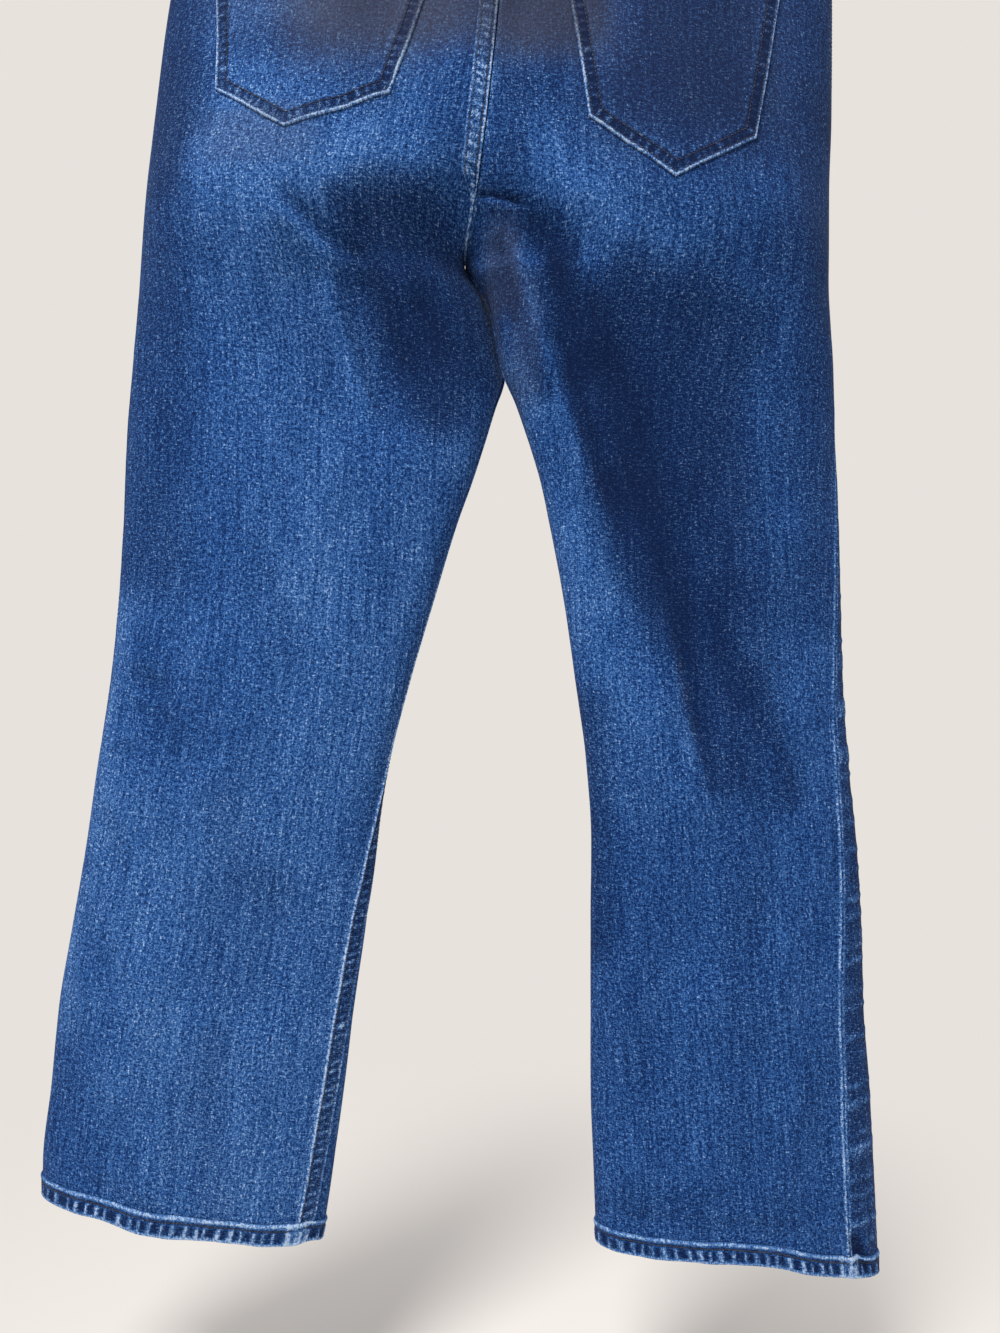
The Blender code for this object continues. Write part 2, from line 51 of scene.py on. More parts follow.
# Cloth and construction sizes
WALL = 1.4
GAP = 0.3
SEAT_SEAM_HALF_GAP = 0.2
SET_BACK_POWER = 6
CROTCH_LEVEL = -332.0
RISE_CURVE_HEIGHT = 130.0
HEM_LEVEL = -1012.0
HEM_HEIGHT = 15.0
HEM_OUTSIDE = 0.7
HEM_INSIDE = -2.1
WAISTBAND_HEIGHT = 38.0
PANEL_TOP = -WAISTBAND_HEIGHT - GAP
WAISTBAND_OUTSIDE = 0.9
WAISTBAND_INSIDE = -1.7
YOKE_SEAM_AT_BACK = -95.0
YOKE_SEAM_AT_SIDE = -72.0
POCKET_SCOOP_WIDTH = 92.0
POCKET_SCOOP_DEPTH = 80.0
POCKET_SCOOP_FOOT = 6.0
FACING_INSET = 0.6
FLY_TOP = -WAISTBAND_HEIGHT - 2 * GAP
FLY_WIDTH = 38.0
FLY_LENGTH = 158.0
FLY_ROUND_FROM = 0.72
FLY_FOOT_WIDTH = 5.0
PATCH_WALL = 1.2
PATCH_LIFT = 0.6
BUTTON_RADIUS = 8.5
BUTTON_THICKNESS = 3.0
BUTTON_FROM_EDGE = 15.0
LOOP_WIDTH = 12.0


def table(kind, *rows):
    """Rows of numbers as named tuples of one kind."""
    return tuple(kind(*row) for row in rows)


# Outer silhouette at mid depth: height, left edge, right edge
Outline = namedtuple("Outline", "z left right")
OUTLINE = table(
    Outline,
    (20, -189, 183), (-20, -201, 192), (-60, -214, 205), (-100, -226.5, 215), (-145, -237.5, 222),
    (-230, -248.5, 221.5), (-286, -254, 219.5), (-342, -259.6, 219), (-398, -264.6, 222.5),
    (-454, -269.2, 224), (-510, -271.4, 227.5), (-566, -275, 229), (-622, -280.8, 230.5),
    (-678, -290, 234.5), (-734, -298, 240), (-790, -307.5, 243.5), (-846, -317, 245), (-902, -322.5, 249),
    (-958, -328.5, 252), (-1045, -329, 256),
)

# The line where the halves meet down to the crotch, then each leg's inner edge and how far it is set back
Inner = namedtuple("Inner", "level left right left_back right_back")
INNER = table(
    Inner,
    (20, 0.5, 0.5, 0, 0), (0, 0, 0, 0, 0), (-90, -3, -3, 0, 0), (-182, -9.5, -9.5, 0, 0),
    (-233, -14.5, -14.5, 0, 0), (-272, -19.3, -19.3, 0, 0), (-292, -22.7, -22.7, 0, 0),
    (-312, -28.4, -28.4, 0, 0), (-332, -33.6, -33.6, 0, 0), (-337, -31, -31, 4, -4),
    (-343, -26.6, -27.4, 9, -9), (-357, -17.2, -18.4, 10, -10), (-378, -10.5, -12.5, 10, -10),
    (-395, -7.5, -9.5, 10, -10), (-408, -7, -6.5, 9, -9), (-415, -8.5, -3.5, 8, -8),
    (-426, -12.5, 1.5, 6, -6), (-454, -21, 10.5, 3, -3), (-482, -30, 19, 1, -1), (-510, -40, 25, 0, 0),
    (-566, -57, 35.5, 0, 0), (-622, -73.5, 43.5, 0, 0), (-678, -87.5, 51, 0, 0), (-734, -96, 54.5, 0, 0),
    (-790, -102.5, 54, 0, 0), (-846, -110.5, 54, 0, 0), (-902, -117.5, 54, 0, 0), (-958, -125, 56, 0, 0),
    (-1030, -136, 58.5, 0, 0),
)

# Shape of the rings: slope across, depth to the back and front, roundness, how far the front hangs lower,
# and how far round the cloth each leg's seams are turned
Section = namedtuple("Section",
                     "level tilt_left tilt_right back front power front_drop turn_left turn_right")
SECTIONS = table(
    Section,
    (20, -0.09, -0.09, 45, 46, 2.2, 26, 0, 0), (0, -0.09, -0.09, 47, 46, 2.2, 25, 0, 0),
    (-60, -0.09, -0.09, 54, 45, 2.2, 20, 0, 0), (-120, -0.09, -0.09, 61, 43, 2.2, 12, 0, 0),
    (-180, -0.09, -0.09, 67, 41, 2.2, 5, 0, 0), (-240, -0.09, -0.09, 71, 39, 2.2, 0, 0, 0),
    (-290, -0.09, -0.09, 71, 38, 2.2, 0, 0, 0), (-340, -0.09, -0.09, 60, 35, 2.15, 0, 0, 0),
    (-375, -0.095, -0.092, 49, 33, 2.1, 0, 0, -1), (-426, -0.1, -0.095, 37, 30, 2.05, 0, 0, -4),
    (-500, -0.11, -0.097, 31, 28, 2, 0, 0, -10), (-590, -0.12, -0.1, 28, 27, 2, 0, 0, -15),
    (-660, -0.13, -0.101, 27, 26, 2, 0, 1, -19), (-745, -0.14, -0.102, 26, 26, 2, 0, 10, -23),
    (-795, -0.145, -0.103, 26, 26, 2, 0, 16, -26), (-850, -0.15, -0.104, 26.5, 26.5, 2, 0, 18, -28.5),
    (-915, -0.16, -0.105, 27, 27, 2, 0, 21, -32), (-1030, -0.172, -0.107, 28, 27, 2, 0, 25, -33),
)

# Largest folds, as the solids have them
Fold = namedtuple("Fold", "x0 z0 x1 z1 bow width depth")
BACK_FOLDS = table(
    Fold,
    (-128, -300, -62, -470, 10, 38, -11), (2, -296, 60, -446, 4, 17, -8), (30, -370, 152, -705, -6, 34, -9),
    (-10, -318, 30, -440, 4, 15, 5), (120, -330, 170, -560, 0, 44, -5), (-215, -560, -190, -800, 0, 34, 3),
    (-150, -745, -172, -870, 0, 24, -5), (-262, -600, -205, -690, 4, 20, -4),
    (118, -690, 136, -840, 0, 22, -4), (175, -780, 190, -960, 0, 26, 3),
)
FRONT_FOLDS = table(
    Fold,
    (-150, -250, -50, -322, 8, 22, -6), (110, -245, 0, -325, -8, 22, -6), (-95, -330, -170, -440, 8, 20, 5),
    (60, -330, 130, -430, -8, 20, 5), (-230, -560, -120, -625, 6, 18, -5), (70, -600, 190, -560, 6, 18, -5),
    (-200, -700, -220, -900, 0, 26, -4), (140, -700, 160, -900, 0, 26, -4),
)

# Back pockets, their corners as distances round the cloth from the seat seam and levels
Pocket = namedtuple("Pocket", "inner_top outer_top inner_foot outer_foot tip_level")
POCKETS = {
    LEFT: Pocket((30.0, -114.0), (200.0, -106.0), (62.7, -251.0), (181.3, -250.0), -277.0),
    RIGHT: Pocket((29.0, -116.0), (190.0, -108.0), (64.4, -255.0), (176.2, -251.3), -286.7),
}
POCKET_TIP_ACROSS = 0.55
# For each pocket's sewn band: which puckers it has, and how dark it is between them
POCKET_BANDS = {LEFT: (8, 1.05), RIGHT: (9, 1.15)}

# Belt loop profile: level, distance off the cloth to its inner face
LoopRow = namedtuple("LoopRow", "level off")
LOOP_ROWS = table(
    LoopRow,
    (-1, 1.3), (-8, 2.2), (-20, 2.7), (-32, 2.2), (-40, 1.3), (-48, 0.5),
)
# Places of the loops from the middle of the back to the middle of the front, negative on the left
LOOP_SHARES = (-0.77, -0.3, 0.0, 0.3, 0.77)

# Creases finer than the solids': a crease is a fold with a narrow trough or ridge
BACK_CREASES = table(
    Fold,
    # under the left seat
    (-156, -298, -90, -346, 4, 5, -4.5), (-164, -306, -102, -354, 4, 6, 3),
    (-118, -322, -76, -470, 4, 6, -5), (-128, -326, -88, -474, 4, 7, 3), (-100, -330, -70, -430, 6, 13, -4),
    (-104, -330, -60, -372, 3, 9, 2.6), (-74, -352, -40, -420, -4, 9, -2.6),
    (-58, -330, -34, -372, 2, 6, 1.6),
    # beside the seat seam's foot and on the right inner thigh
    (-38, -295.5, 18, -313, 0, 1.9, -3.8), (-34, -301, 12, -318, 0, 3.2, 2.2),
    (8, -308, 46, -346, -3, 5, -4), (-18, -312, 2, -352, 1, 2.6, -1.8), (-10, -316, 14, -366, 1, 2.6, 1.8),
    (-2, -318, 24, -380, 1, 2.8, -1.8), (-16, -340, 2, -396, 1, 2.4, 1.4),
    (-8, -352, 12, -420, 1, 2.6, -1.4), (-14, -318, 16, -384, 3, 5, -2.4), (-6, -316, 30, -400, 3, 6, 3.6),
    (6, -340, 40, -450, 2, 4.5, -1.6), (14, -330, 48, -440, 2, 5, 1.8), (12, -308, 56, -396, -3, 9, -5),
    (40, -352, 100, -520, -4, 12, -4), (30, -296, 84, -356, -4, 11, 3.4), (84, -480, 122, -600, -3, 12, -3),
    (-4, -168, 6, -196, 1, 4, -1.2),
    # outer left knee and thigh
    (-268, -612, -232, -628, 2, 6, -2.4), (-266, -640, -230, -652, -2, 6, -2),
    (-274, -596, -244, -610, 2, 7, 1.4), (-284, -672, -246, -664, 2, 6, -1.6),
    (-240, -640, -222, -700, 3, 9, -2), (-206, -560, -188, -700, 2, 16, 1.6),
    (-166, -520, -150, -640, 0, 14, -1.5), (-186, -740, -206, -860, 3, 14, -2.2),
    (-246, -780, -262, -930, 3, 18, 1.8), (-216, -860, -232, -985, 0, 12, -1.3),
    (-178, -900, -196, -990, 0, 10, 1.2), (-300, -820, -312, -940, 0, 9, -1.2),
    (-290, -700, -262, -760, -3, 8, -1.6), (-296, -742, -276, -820, 2, 8, 1.4),
    # right leg
    (8, -330, 84, -540, 1, 5.5, -4.5), (-2, -334, 74, -548, 1, 6, 2.8), (108, -560, 140, -712, 2, 4, -4.2),
    (101, -562, 132, -716, 2, 5, 2.8), (155, -596, 176, -680, 2, 4, -2.8),
    (161, -594, 182, -678, 2, 3.2, 2.2), (136, -560, 158, -650, 2, 5, -2),
    (128, -650, 142, -720, 2, 6, 1.8), (152, -700, 168, -780, 0, 10, 1.6),
    (90, -560, 110, -650, 2, 12, 1.6), (82, -820, 92, -960, 0, 12, -1.2),
    (150, -850, 166, -985, 2, 14, -1.5), (196, -820, 214, -990, 0, 12, -1.3),
    (208, -520, 196, -640, 2, 14, -1.6), (60, -470, 84, -600, 2, 12, -1.6),
    (176, -420, 192, -560, 2, 16, 1.6), (150, -390, 166, -520, 2, 12, -1.4),
    # pleat and puckers over the right hem, and puckers over the left one
    (230, -996, 244, -1034, 1, 3.4, -5), (238, -992, 254, -1032, 1, 3.4, 3.2),
    (222, -994, 236, -1030, 1, 2.6, 2.4), (206, -990, 226, -996, 1, 4, 1.6),
    (60, -982, 120, -990, 2, 6, -1.2), (120, -986, 200, -992, -2, 6, 1),
    (-150, -970, -142, -996, 0, 3.5, 1.5), (-161, -972, -154, -998, 0, 3.5, -1.3),
    (-300, -955, -220, -985, 3, 7, -1.3),
)
FRONT_CREASES = table(
    Fold,
    (-162, -284, -48, -326, 5, 6, -2.6), (-132, -300, -44, -342, 5, 5, 2),
    (-116, -322, -40, -352, 3, 4.5, -1.6), (118, -276, -4, -324, -5, 6, -2.6),
    (84, -298, -8, -340, -5, 5, 2), (76, -318, 0, -354, -3, 4.5, -1.6), (-176, -340, -90, -366, 4, 9, -2.2),
    (130, -338, 44, -368, -4, 9, -2.2), (-230, -330, -160, -350, 3, 9, 1.8),
    (190, -326, 130, -350, -3, 9, 1.8), (-252, -598, -150, -640, 4, 8, -2.4),
    (-246, -640, -160, -670, 4, 9, -2), (-200, -560, -120, -588, 4, 8, 1.8),
    (80, -640, 180, -606, -4, 8, -2.4), (96, -680, 206, -650, -4, 9, -2), (70, -560, 150, -548, -4, 8, 1.8),
    (-220, -760, -236, -900, 3, 14, -2), (-176, -780, -190, -930, 2, 12, 1.6),
    (-270, -800, -286, -960, 2, 12, -1.6), (100, -760, 108, -900, 3, 14, -2),
    (150, -780, 166, -960, 2, 12, 1.6), (200, -800, 212, -960, 2, 12, -1.6),
)
# Where a hem is lifted or hangs lower: middle, half width, rise
HemWave = namedtuple("HemWave", "x half rise")
HEM_WAVES = table(
    HemWave,
    (168, 44, 7.0), (118, 26, 2.0), (-250, 22, -3.6), (-226, 16, -1.4), (-140, 8, 3.0),
)
HEM_WAVE_HEIGHT = 90.0
# Gentle unevenness of the cloth all over: wavelength across, wavelength down, height
Ripple = namedtuple("Ripple", "across down height")
RIPPLES = table(
    Ripple,
    (61, 173, 0.7), (-47, 131, 0.5), (33, 97, 0.3), (-29, -61, 0.22), (19, 53, 0.12),
)

# Felled seams: a strip of doubled cloth with a folded ridge on each side and two rows of stitches
LAP_WIDTH = 12.5
LAP_RISE = 0.9
LAP_LIFT = 0.35
LAP_INSIDE = 0.1
LAP_STITCHES_OFF = LAP_LIFT + LAP_RISE - 0.12
LAP_TOP = -WAISTBAND_HEIGHT - 0.6
LAP_FOOT = HEM_LEVEL + HEM_HEIGHT + 0.6
LAP_PINCH_FROM = -288.0
LAP_PINCH_TO = -306.0
LAP_PINCHED_WIDTH = 2.4
YOKE_LAP_WIDTH = 10.0
OUTSEAM_WIDTH = 6.0
OUTSEAM_RIDGE_APART = 3.0
OUTSEAM_RISE = 0.6
OUTSEAM_STITCHED_TO = -190.0
OUTSEAM_STITCH_IN = 4.2
# Puckered band of the front panel beside the outseam
BAND_WIDTH = 26.0

# Sewing
STITCH_PITCH = 2.8
STITCH_LENGTH = 2.25
THREAD_RADIUS = 0.3
ROW_FROM_EDGE = 2.4
ROWS_APART = 6.0
PUCKER_PITCH = 6.2
HEM_PITCH = 7.7
HEM_ROW_ABOVE = 10.2

# Grid sizes of the fine shells
BACK_SPANS = 84
FRONT_SPANS = 46
END_CROWDING = 0.6
PANEL_STEP = 3.1
CREASED_STEP = 1.6
CREASED_FROM = -286.0
CREASED_TO = -400.0
LEVEL_ROWS_FROM = -140.0
HEM_STEP = 1.05
WAISTBAND_STEP = 2.3
WAISTBAND_ROW_IN = 3.2

# The worn and shaded amounts kept with each vertex run from 0 to this
MOST_SHADE = 1.5
# Share of the wear that the cloth's inside has, and how far off its weave starts
INSIDE_WEAR = 0.3
INSIDE_WEAVE_AWAY = 400
# How much the solids' wide folds add to the painted shade in troughs and the lighter ridges, next to the
# creases
FOLD_SHADING = 0.25
# How strongly the back's strokes of painted shade are laid on, next to the front's
BACK_SHADING = 1.12
# Corners of a mesh past this many degrees are sharp
SHARP_FROM = 62

# Camera: the photograph is level, and this many millimetres from the jeans' middle plane
CAMERA_PLACE = (-9.1, -800.0, -611.0)
CAMERA_LENS = 30.87
CAMERA_SENSOR = 36.0
FLOOR_LEVEL = -1150.0
FLOOR_RADIUS = 20000.0

# Painted shadow, greyed as under a warm fill light, as soft ovals on the back: middle, half sizes, strength
Patch = namedtuple("Patch", "x z half_x half_z strength")
PAINTED_SHADOW_PATCHES = table(
    Patch,
    (-72, -165, 54, 48, 0.75), (-30, -152, 30, 62, 0.55), (22, -172, 42, 50, 0.9), (6, -150, 34, 68, 0.45),
    (-100, -158, 54, 68, 0.75), (-150, -130, 60, 70, 0.35), (-165, -268, 40, 20, 0.3),
    (118, -170, 78, 110, 0.3), (-8, -344, 13, 30, 0.5), (8, -392, 11, 42, 0.3),
)
# Soft strokes of painted light and painted shade, and the front's worn fades: ends, half width, strength
Stroke = namedtuple("Stroke", "x0 z0 x1 z1 width strength")
# Painted light on the back
BACK_PAINTED_LIGHT = table(
    Stroke,
    (-222, -264, -87, -303, 31, 0.6), (-183, -219, -138, -335, 49, 0.5), (-139, -150, -145, -249, 49, 0.35),
    (4, -231, 146, -393, 35, 0.25), (56, -309, 114, -361, 40, 0.15), (-183, -298, -143, -620, 35, 0.3),
    (-259, -735, -212, -978, 56, 0.65), (-185, -735, -191, -978, 42, 0.5), (65, -566, 80, -690, 29, 0.5),
    (-88, -250, -100, -330, 26, 0.4), (-112, -400, -128, -560, 30, 0.4), (-60, -470, -74, -570, 14, 0.45),
    (-112, -600, -118, -700, 22, 0.4), (-128, -700, -150, -960, 30, 0.5), (150, -470, 186, -640, 26, 0.3),
    (40, -470, 62, -560, 16, 0.4), (-29, -338, -9, -418, 4, 0.45), (-20, -396, 0, -412, 7, 0.7),
    (-4, -400, 14, -438, 10, 0.6), (-11, -393, 49, -593, 8, 0.55), (112, -615, 120, -665, 7, 0.6),
    (-58, -452, -44, -462, 16, 0.4), (-74, -220, -54, -310, 40, 0.25), (-277, -575, -290, -725, 17, 0.9),
    (-303, -765, -312, -860, 11, 0.9), (-122, -765, -131, -930, 10, 0.5), (-96, -575, -106, -690, 10, 0.4),
    (-225, -505, -235, -545, 15, 0.4), (-40, -400, -38, -470, 12, 0.35), (-70, -540, -92, -660, 12, 0.45),
    (-130, -539, -171, -728, 35, 0.35),
)
# Painted shade on the back
BACK_PAINTED_SHADE = table(
    Stroke,
    (-90, -316, -50, -430, 26, 0.85), (-64, -318, -28, -396, 26, 0.85), (-116, -306, -80, -352, 8, 0.5),
    (-236, -170, -246, -538, 28, 0.42), (-21, -300.5, 0, -307.5, 1.6, 0.85), (2, -309, 40, -340, 5, 0.55),
    (-12, -330, 0, -372, 7, 0.6), (2, -366, 22, -425, 6, 0.4), (-36, -240, -30, -296, 26, 0.25),
    (12, -324, 28, -345, 8, 0.65), (28, -345, 45, -412, 10, 0.8), (45, -412, 72, -490, 14, 0.65),
    (70, -490, 110, -580, 24, 0.6), (66, -386, 105, -480, 34, 0.7), (85, -499, 144, -680, 22, 0.5),
    (90, -398, 150, -545, 48, 0.55), (138, -520, 142, -552, 12, 0.5), (140, -600, 150, -635, 12, 0.5),
    (180, -330, 196, -470, 30, 0.3), (206, -234, 213, -579, 17, 0.3), (92, -292, 168, -326, 30, 0.3),
    (118, -575, 137, -692, 7, 0.6), (163, -612, 189, -702, 7, 0.4), (76, -978, 190, -982, 16, 0.2),
    (-220, -150, -226, -250, 22, 0.55), (206, -130, 212, -236, 20, 0.45), (80, -360, 150, -390, 24, 0.45),
    (50, -640, 56, -800, 17, 0.45), (150, -566, 176, -690, 22, 0.4), (90, -240, 190, -240, 28, 0.35),
    (158, -262, 178, -276, 22, 0.4), (-229, -245, -233, -285, 14, 0.5), (24, -352, 28, -385, 9, 0.5),
    (48, -440, 56, -490, 8, 0.4), (30, -232, 75, -256, 26, 0.3), (202, -160, 208, -360, 22, 0.35),
    (128, -360, 134, -510, 26, 0.4), (2, -280, 4, -330, 10, 0.25), (-229, -205, -233, -290, 15, 0.5),
    (-206, -215, -206, -248, 14, 0.3), (-98, -165, -92, -240, 20, 0.4), (-176, -203, -128, -210, 14, 0.3),
    (-14, -180, -8, -245, 16, 0.3), (152, -560, 158, -860, 16, 0.25), (78, -680, 82, -880, 26, 0.15),
    (-203, -860, -205, -985, 12, 0.2), (-200, -705, -180, -750, 18, 0.2), (128, -110, 118, -228, 58, 0.92),
    (8, -160, 34, -186, 30, 0.5), (-80, -150, -50, -186, 34, 0.22), (-150, -120, -140, -220, 60, 0.12),
    (234, -1006, 241, -1021, 4.2, 1.0), (49, -257, -9, -199, 28, 0.3), (4, -241, -9, -305, 11, 0.35),
)
# Worn fades and whiskers on the front's thighs
FRONT_FADES = table(
    Stroke,
    (-150, -250, -180, -520, 48, 0.5), (120, -250, 140, -520, 48, 0.5), (-220, -600, -240, -720, 42, 0.4),
    (130, -600, 150, -720, 42, 0.4), (-180, -200, -120, -225, 9, 0.35), (150, -205, 90, -228, 9, 0.35),
)
# Painted shade on the front's sides and across its knee creases
FRONT_PAINTED_SHADE = table(
    Stroke,
    (-240, -200, -255, -560, 24, 0.35), (205, -200, 212, -560, 24, 0.35),
    (-215, -640, -150, -670, 14, 0.35), (110, -640, 190, -655, 14, 0.35),
)


def smooth_column(rows, key, column):
    """A smooth function through one column of a table, which never overshoots its rows."""
    pairs = sorted((getattr(row, key), getattr(row, column)) for row in rows)
    x = np.array([pair[0] for pair in pairs], float)
    y = np.array([pair[1] for pair in pairs], float)
    step = np.diff(x)
    rate = np.diff(y) / step
    slope = np.zeros(len(x))
    for i in range(1, len(x) - 1):
        if rate[i - 1] * rate[i] > 0:
            before = 2 * step[i] + step[i - 1]
            after = step[i] + 2 * step[i - 1]
            slope[i] = (before + after) / (before / rate[i - 1] + after / rate[i])
    slope[0] = rate[0]
    slope[-1] = rate[-1]

    def value(at):
        at = np.clip(np.asarray(at, float), x[0], x[-1])
        i = np.clip(np.searchsorted(x, at) - 1, 0, len(x) - 2)
        t = (at - x[i]) / step[i]
        rise = (3 - 2 * t) * t * t
        start = step[i] * slope[i] * t * (1 - t) ** 2
        end = step[i] * slope[i + 1] * t * t * (t - 1)
        return y[i] + (y[i + 1] - y[i]) * rise + start + end

    return value


def ease(t):
    """Smooth step from 0 to 1."""
    t = np.clip(t, 0, 1)
    return t * t * (3 - 2 * t)


def fold_height(folds, x, z):
    """How far the folds of one face stand out of its smooth form at a place on it."""
    total = np.zeros(np.broadcast(x, z).shape)
    for fold in folds:
        run_x = fold.x1 - fold.x0
        run_z = fold.z1 - fold.z0
        length = math.hypot(run_x, run_z)
        along = ((x - fold.x0) * run_x + (z - fold.z0) * run_z) / length ** 2
        across = ((x - fold.x0) * run_z - (z - fold.z0) * run_x) / length
        across = across - fold.bow * 4 * along * (1 - along)
        fade = ease(along / 0.3) * ease((1 - along) / 0.3)
        total = total + fold.depth * fade * np.exp(-(across / fold.width) ** 2)
    return total


def run_along(points):
    """Distances along a line of points to each of them."""
    return np.concatenate([[0], np.cumsum(np.linalg.norm(np.diff(points, axis=0), axis=1))])


class Half:
    """One leg with its half of the seat, as rings with distances measured round the cloth.

    A distance starts at the seat seam, or at the leg's inner end, runs over the back to the outer edge and
    returns over the front."""

    def __init__(self, side):
        self.side = side
        self.word = "left" if side == LEFT else "right"
        self.outer = smooth_column(OUTLINE, "z", self.word)
        self.inner = smooth_column(INNER, "level", self.word)
        self.set_back = smooth_column(INNER, "level", self.word + "_back")
        self.tilt = smooth_column(SECTIONS, "level", "tilt_" + self.word)
        self.turn = smooth_column(SECTIONS, "level", "turn_" + self.word)
        self.back = smooth_column(SECTIONS, "level", "back")
        self.front = smooth_column(SECTIONS, "level", "front")
        self.power = smooth_column(SECTIONS, "level", "power")
        self.front_drop = smooth_column(SECTIONS, "level", "front_drop")
        self.measure()

    def reach(self, level):
        """How far each half ring would run on past the seat seam, as a share of its width to that seam."""
        return ease((np.asarray(level, float) - CROTCH_LEVEL) / RISE_CURVE_HEIGHT)

    def last_angle(self, level):
        """Angle at which the half ring stops: half a turn on a leg, a quarter turn high on the seat."""
        reach = self.reach(level)
        cut = (1 - reach) / (1 + reach)
        return math.pi - np.arccos(cut ** (self.power(level) / 2))

    def ends(self, level):
        """The ring's outer end and its inner end, which lies past the seat seam above the crotch."""
        x_in = self.inner(level) + self.side * SEAT_SEAM_HALF_GAP
        x_out = self.outer(level)
        for _ in range(8):
            z_out = level + self.tilt(level) * (x_out - x_in)
            x_out = self.outer(z_out)
        reach = self.reach(level)
        return x_out, z_out, x_in + reach * (x_in - x_out), level + reach * (level - z_out)

    def point(self, level, angle, folded=True):
        """A place on the outside of the cloth; angles are 0 at the outer end and positive on the back."""
        level = np.asarray(level, float)
        x_out, z_out, x_in, z_in = self.ends(level)
        power = self.power(level)
        cosine = np.cos(angle)
        along = np.sign(cosine) * np.abs(cosine) ** (2 / power)
        deep = np.abs(np.sin(angle)) ** (2 / power)
        on_back = np.sin(angle) >= 0
        x = (x_out + x_in) / 2 + (x_out - x_in) / 2 * along
        z = (z_out + z_in) / 2 + (z_out - z_in) / 2 * along
        z = z - np.where(on_back, 0, self.front_drop(level) * deep)
        y = np.where(on_back, -self.back(level), self.front(level)) * deep
        y = y + self.set_back(level) * ((1 - along) / 2) ** SET_BACK_POWER
        if folded:
            uneven = ripple_height(x, z)
            back = fold_height(BACK_FOLDS + BACK_CREASES, x, z) + uneven
            front = fold_height(FRONT_FOLDS + FRONT_CREASES, x, z) + uneven
            y = y + np.where(on_back, -back, front) * deep
            z = z + hem_wave(x, z)
        return np.stack([x, y, z], axis=-1)

    def measure(self):
        """Measure each ring, so that a place can be found by its distance round the cloth."""
        above = CROTCH_LEVEL + np.array([0, 0.5, 1.5, 3, 5, 8, 12])
        self.levels = np.concatenate([np.linspace(-1020, CROTCH_LEVEL - 4, 100), above,
                                      np.linspace(CROTCH_LEVEL + 18, 10, 60)])
        ratio = np.linspace(1, -1, 361)
        self.shares = np.linspace(0, 1, 181)
        self.ratios = []
        self.back_lengths = []
        self.whole_lengths = []
        for level in self.levels:
            points = self.point(level, ratio * self.last_angle(level), folded=False)
            run = run_along(points)
            self.ratios.append(np.interp(self.shares, run / run[-1], ratio))
            self.back_lengths.append(run[180])
            self.whole_lengths.append(run[-1])
        self.ratios = np.array(self.ratios)

    def back_length(self, level):
        return np.interp(level, self.levels, self.back_lengths)

    def whole_length(self, level):
        return np.interp(level, self.levels, self.whole_lengths)

    def at(self, level, arc):
        """The place at a level, a distance round the cloth from the seat seam or the inner end."""
        level, arc = np.broadcast_arrays(np.asarray(level, float), np.asarray(arc, float))
        share = arc / self.whole_length(level)
        share = np.where(level < CROTCH_LEVEL, share % 1.0, np.clip(share, 0, 1))
        row = np.clip(np.searchsorted(self.levels, level) - 1, 0, len(self.levels) - 2)
        up = np.clip((level - self.levels[row]) / (self.levels[row + 1] - self.levels[row]), 0, 1)
        place = share * (len(self.shares) - 1)
        column = np.clip(place.astype(int), 0, len(self.shares) - 2)
        on = place - column
        low, high = (self.ratios[at_row, column] * (1 - on) + self.ratios[at_row, column + 1] * on
                     for at_row in (row, row + 1))
        return self.point(level, (low * (1 - up) + high * up) * self.last_angle(level))

    def outward(self, level, arc):
        """The cloth's outward direction at a place."""
        across = self.at(level, arc + 1.2) - self.at(level, arc - 1.2)
        upward = self.at(level + 1.5, arc) - self.at(level - 1.5, arc)
        normal = np.cross(across, upward) * self.side
        return normal / np.linalg.norm(normal, axis=-1, keepdims=True)

    def seams(self, level):
        """Distances to the back panel's two edges: the seat seam or inseam, and the outseam."""
        turn = self.turn(level)
        inseam = np.where(np.asarray(level) < CROTCH_LEVEL, turn, 0)
        return inseam, self.back_length(level) + turn


def crowded(count):
    """Shares from 0 to 1 that lie closer together at both ends, where the cloth turns most."""
    even = np.linspace(0, 1, count + 1)
    return even * (1 - END_CROWDING) + (1 - np.cos(math.pi * even)) / 2 * END_CROWDING


def yoke_seam(share):
    return YOKE_SEAM_AT_BACK + (YOKE_SEAM_AT_SIDE - YOKE_SEAM_AT_BACK) * share


def scoop_width(down):
    """Width of the pocket opening's cut, from the side seam, a share of the way down it."""
    return max(POCKET_SCOOP_WIDTH * math.sqrt(1 - down ** 2), POCKET_SCOOP_FOOT)


def ripple_height(x, z):
    total = np.zeros(np.broadcast(x, z).shape)
    for number, ripple in enumerate(RIPPLES):
        waves = x / ripple.across + z / ripple.down
        total = total + ripple.height * np.sin(math.tau * waves + 2.1 * number)
    return total


def hem_wave(x, z):
    """How far the hem and the cloth just above it are lifted."""
    rise = np.zeros(np.broadcast(x, z).shape)
    for wave in HEM_WAVES:
        rise = rise + wave.rise * np.exp(-((x - wave.x) / wave.half) ** 2)
    return rise * ease((HEM_LEVEL + HEM_WAVE_HEIGHT - z) / HEM_WAVE_HEIGHT)


def soft_patches(patches, x, z):
    """How strongly a set of soft ovals covers each place, from 0 to 1."""
    left = np.ones(np.broadcast(x, z).shape)
    for patch in patches:
        away = ((x - patch.x) / patch.half_x) ** 4 + ((z - patch.z) / patch.half_z) ** 4
        left = left * (1 - patch.strength * np.exp(-away ** 1.4))
    return 1 - left


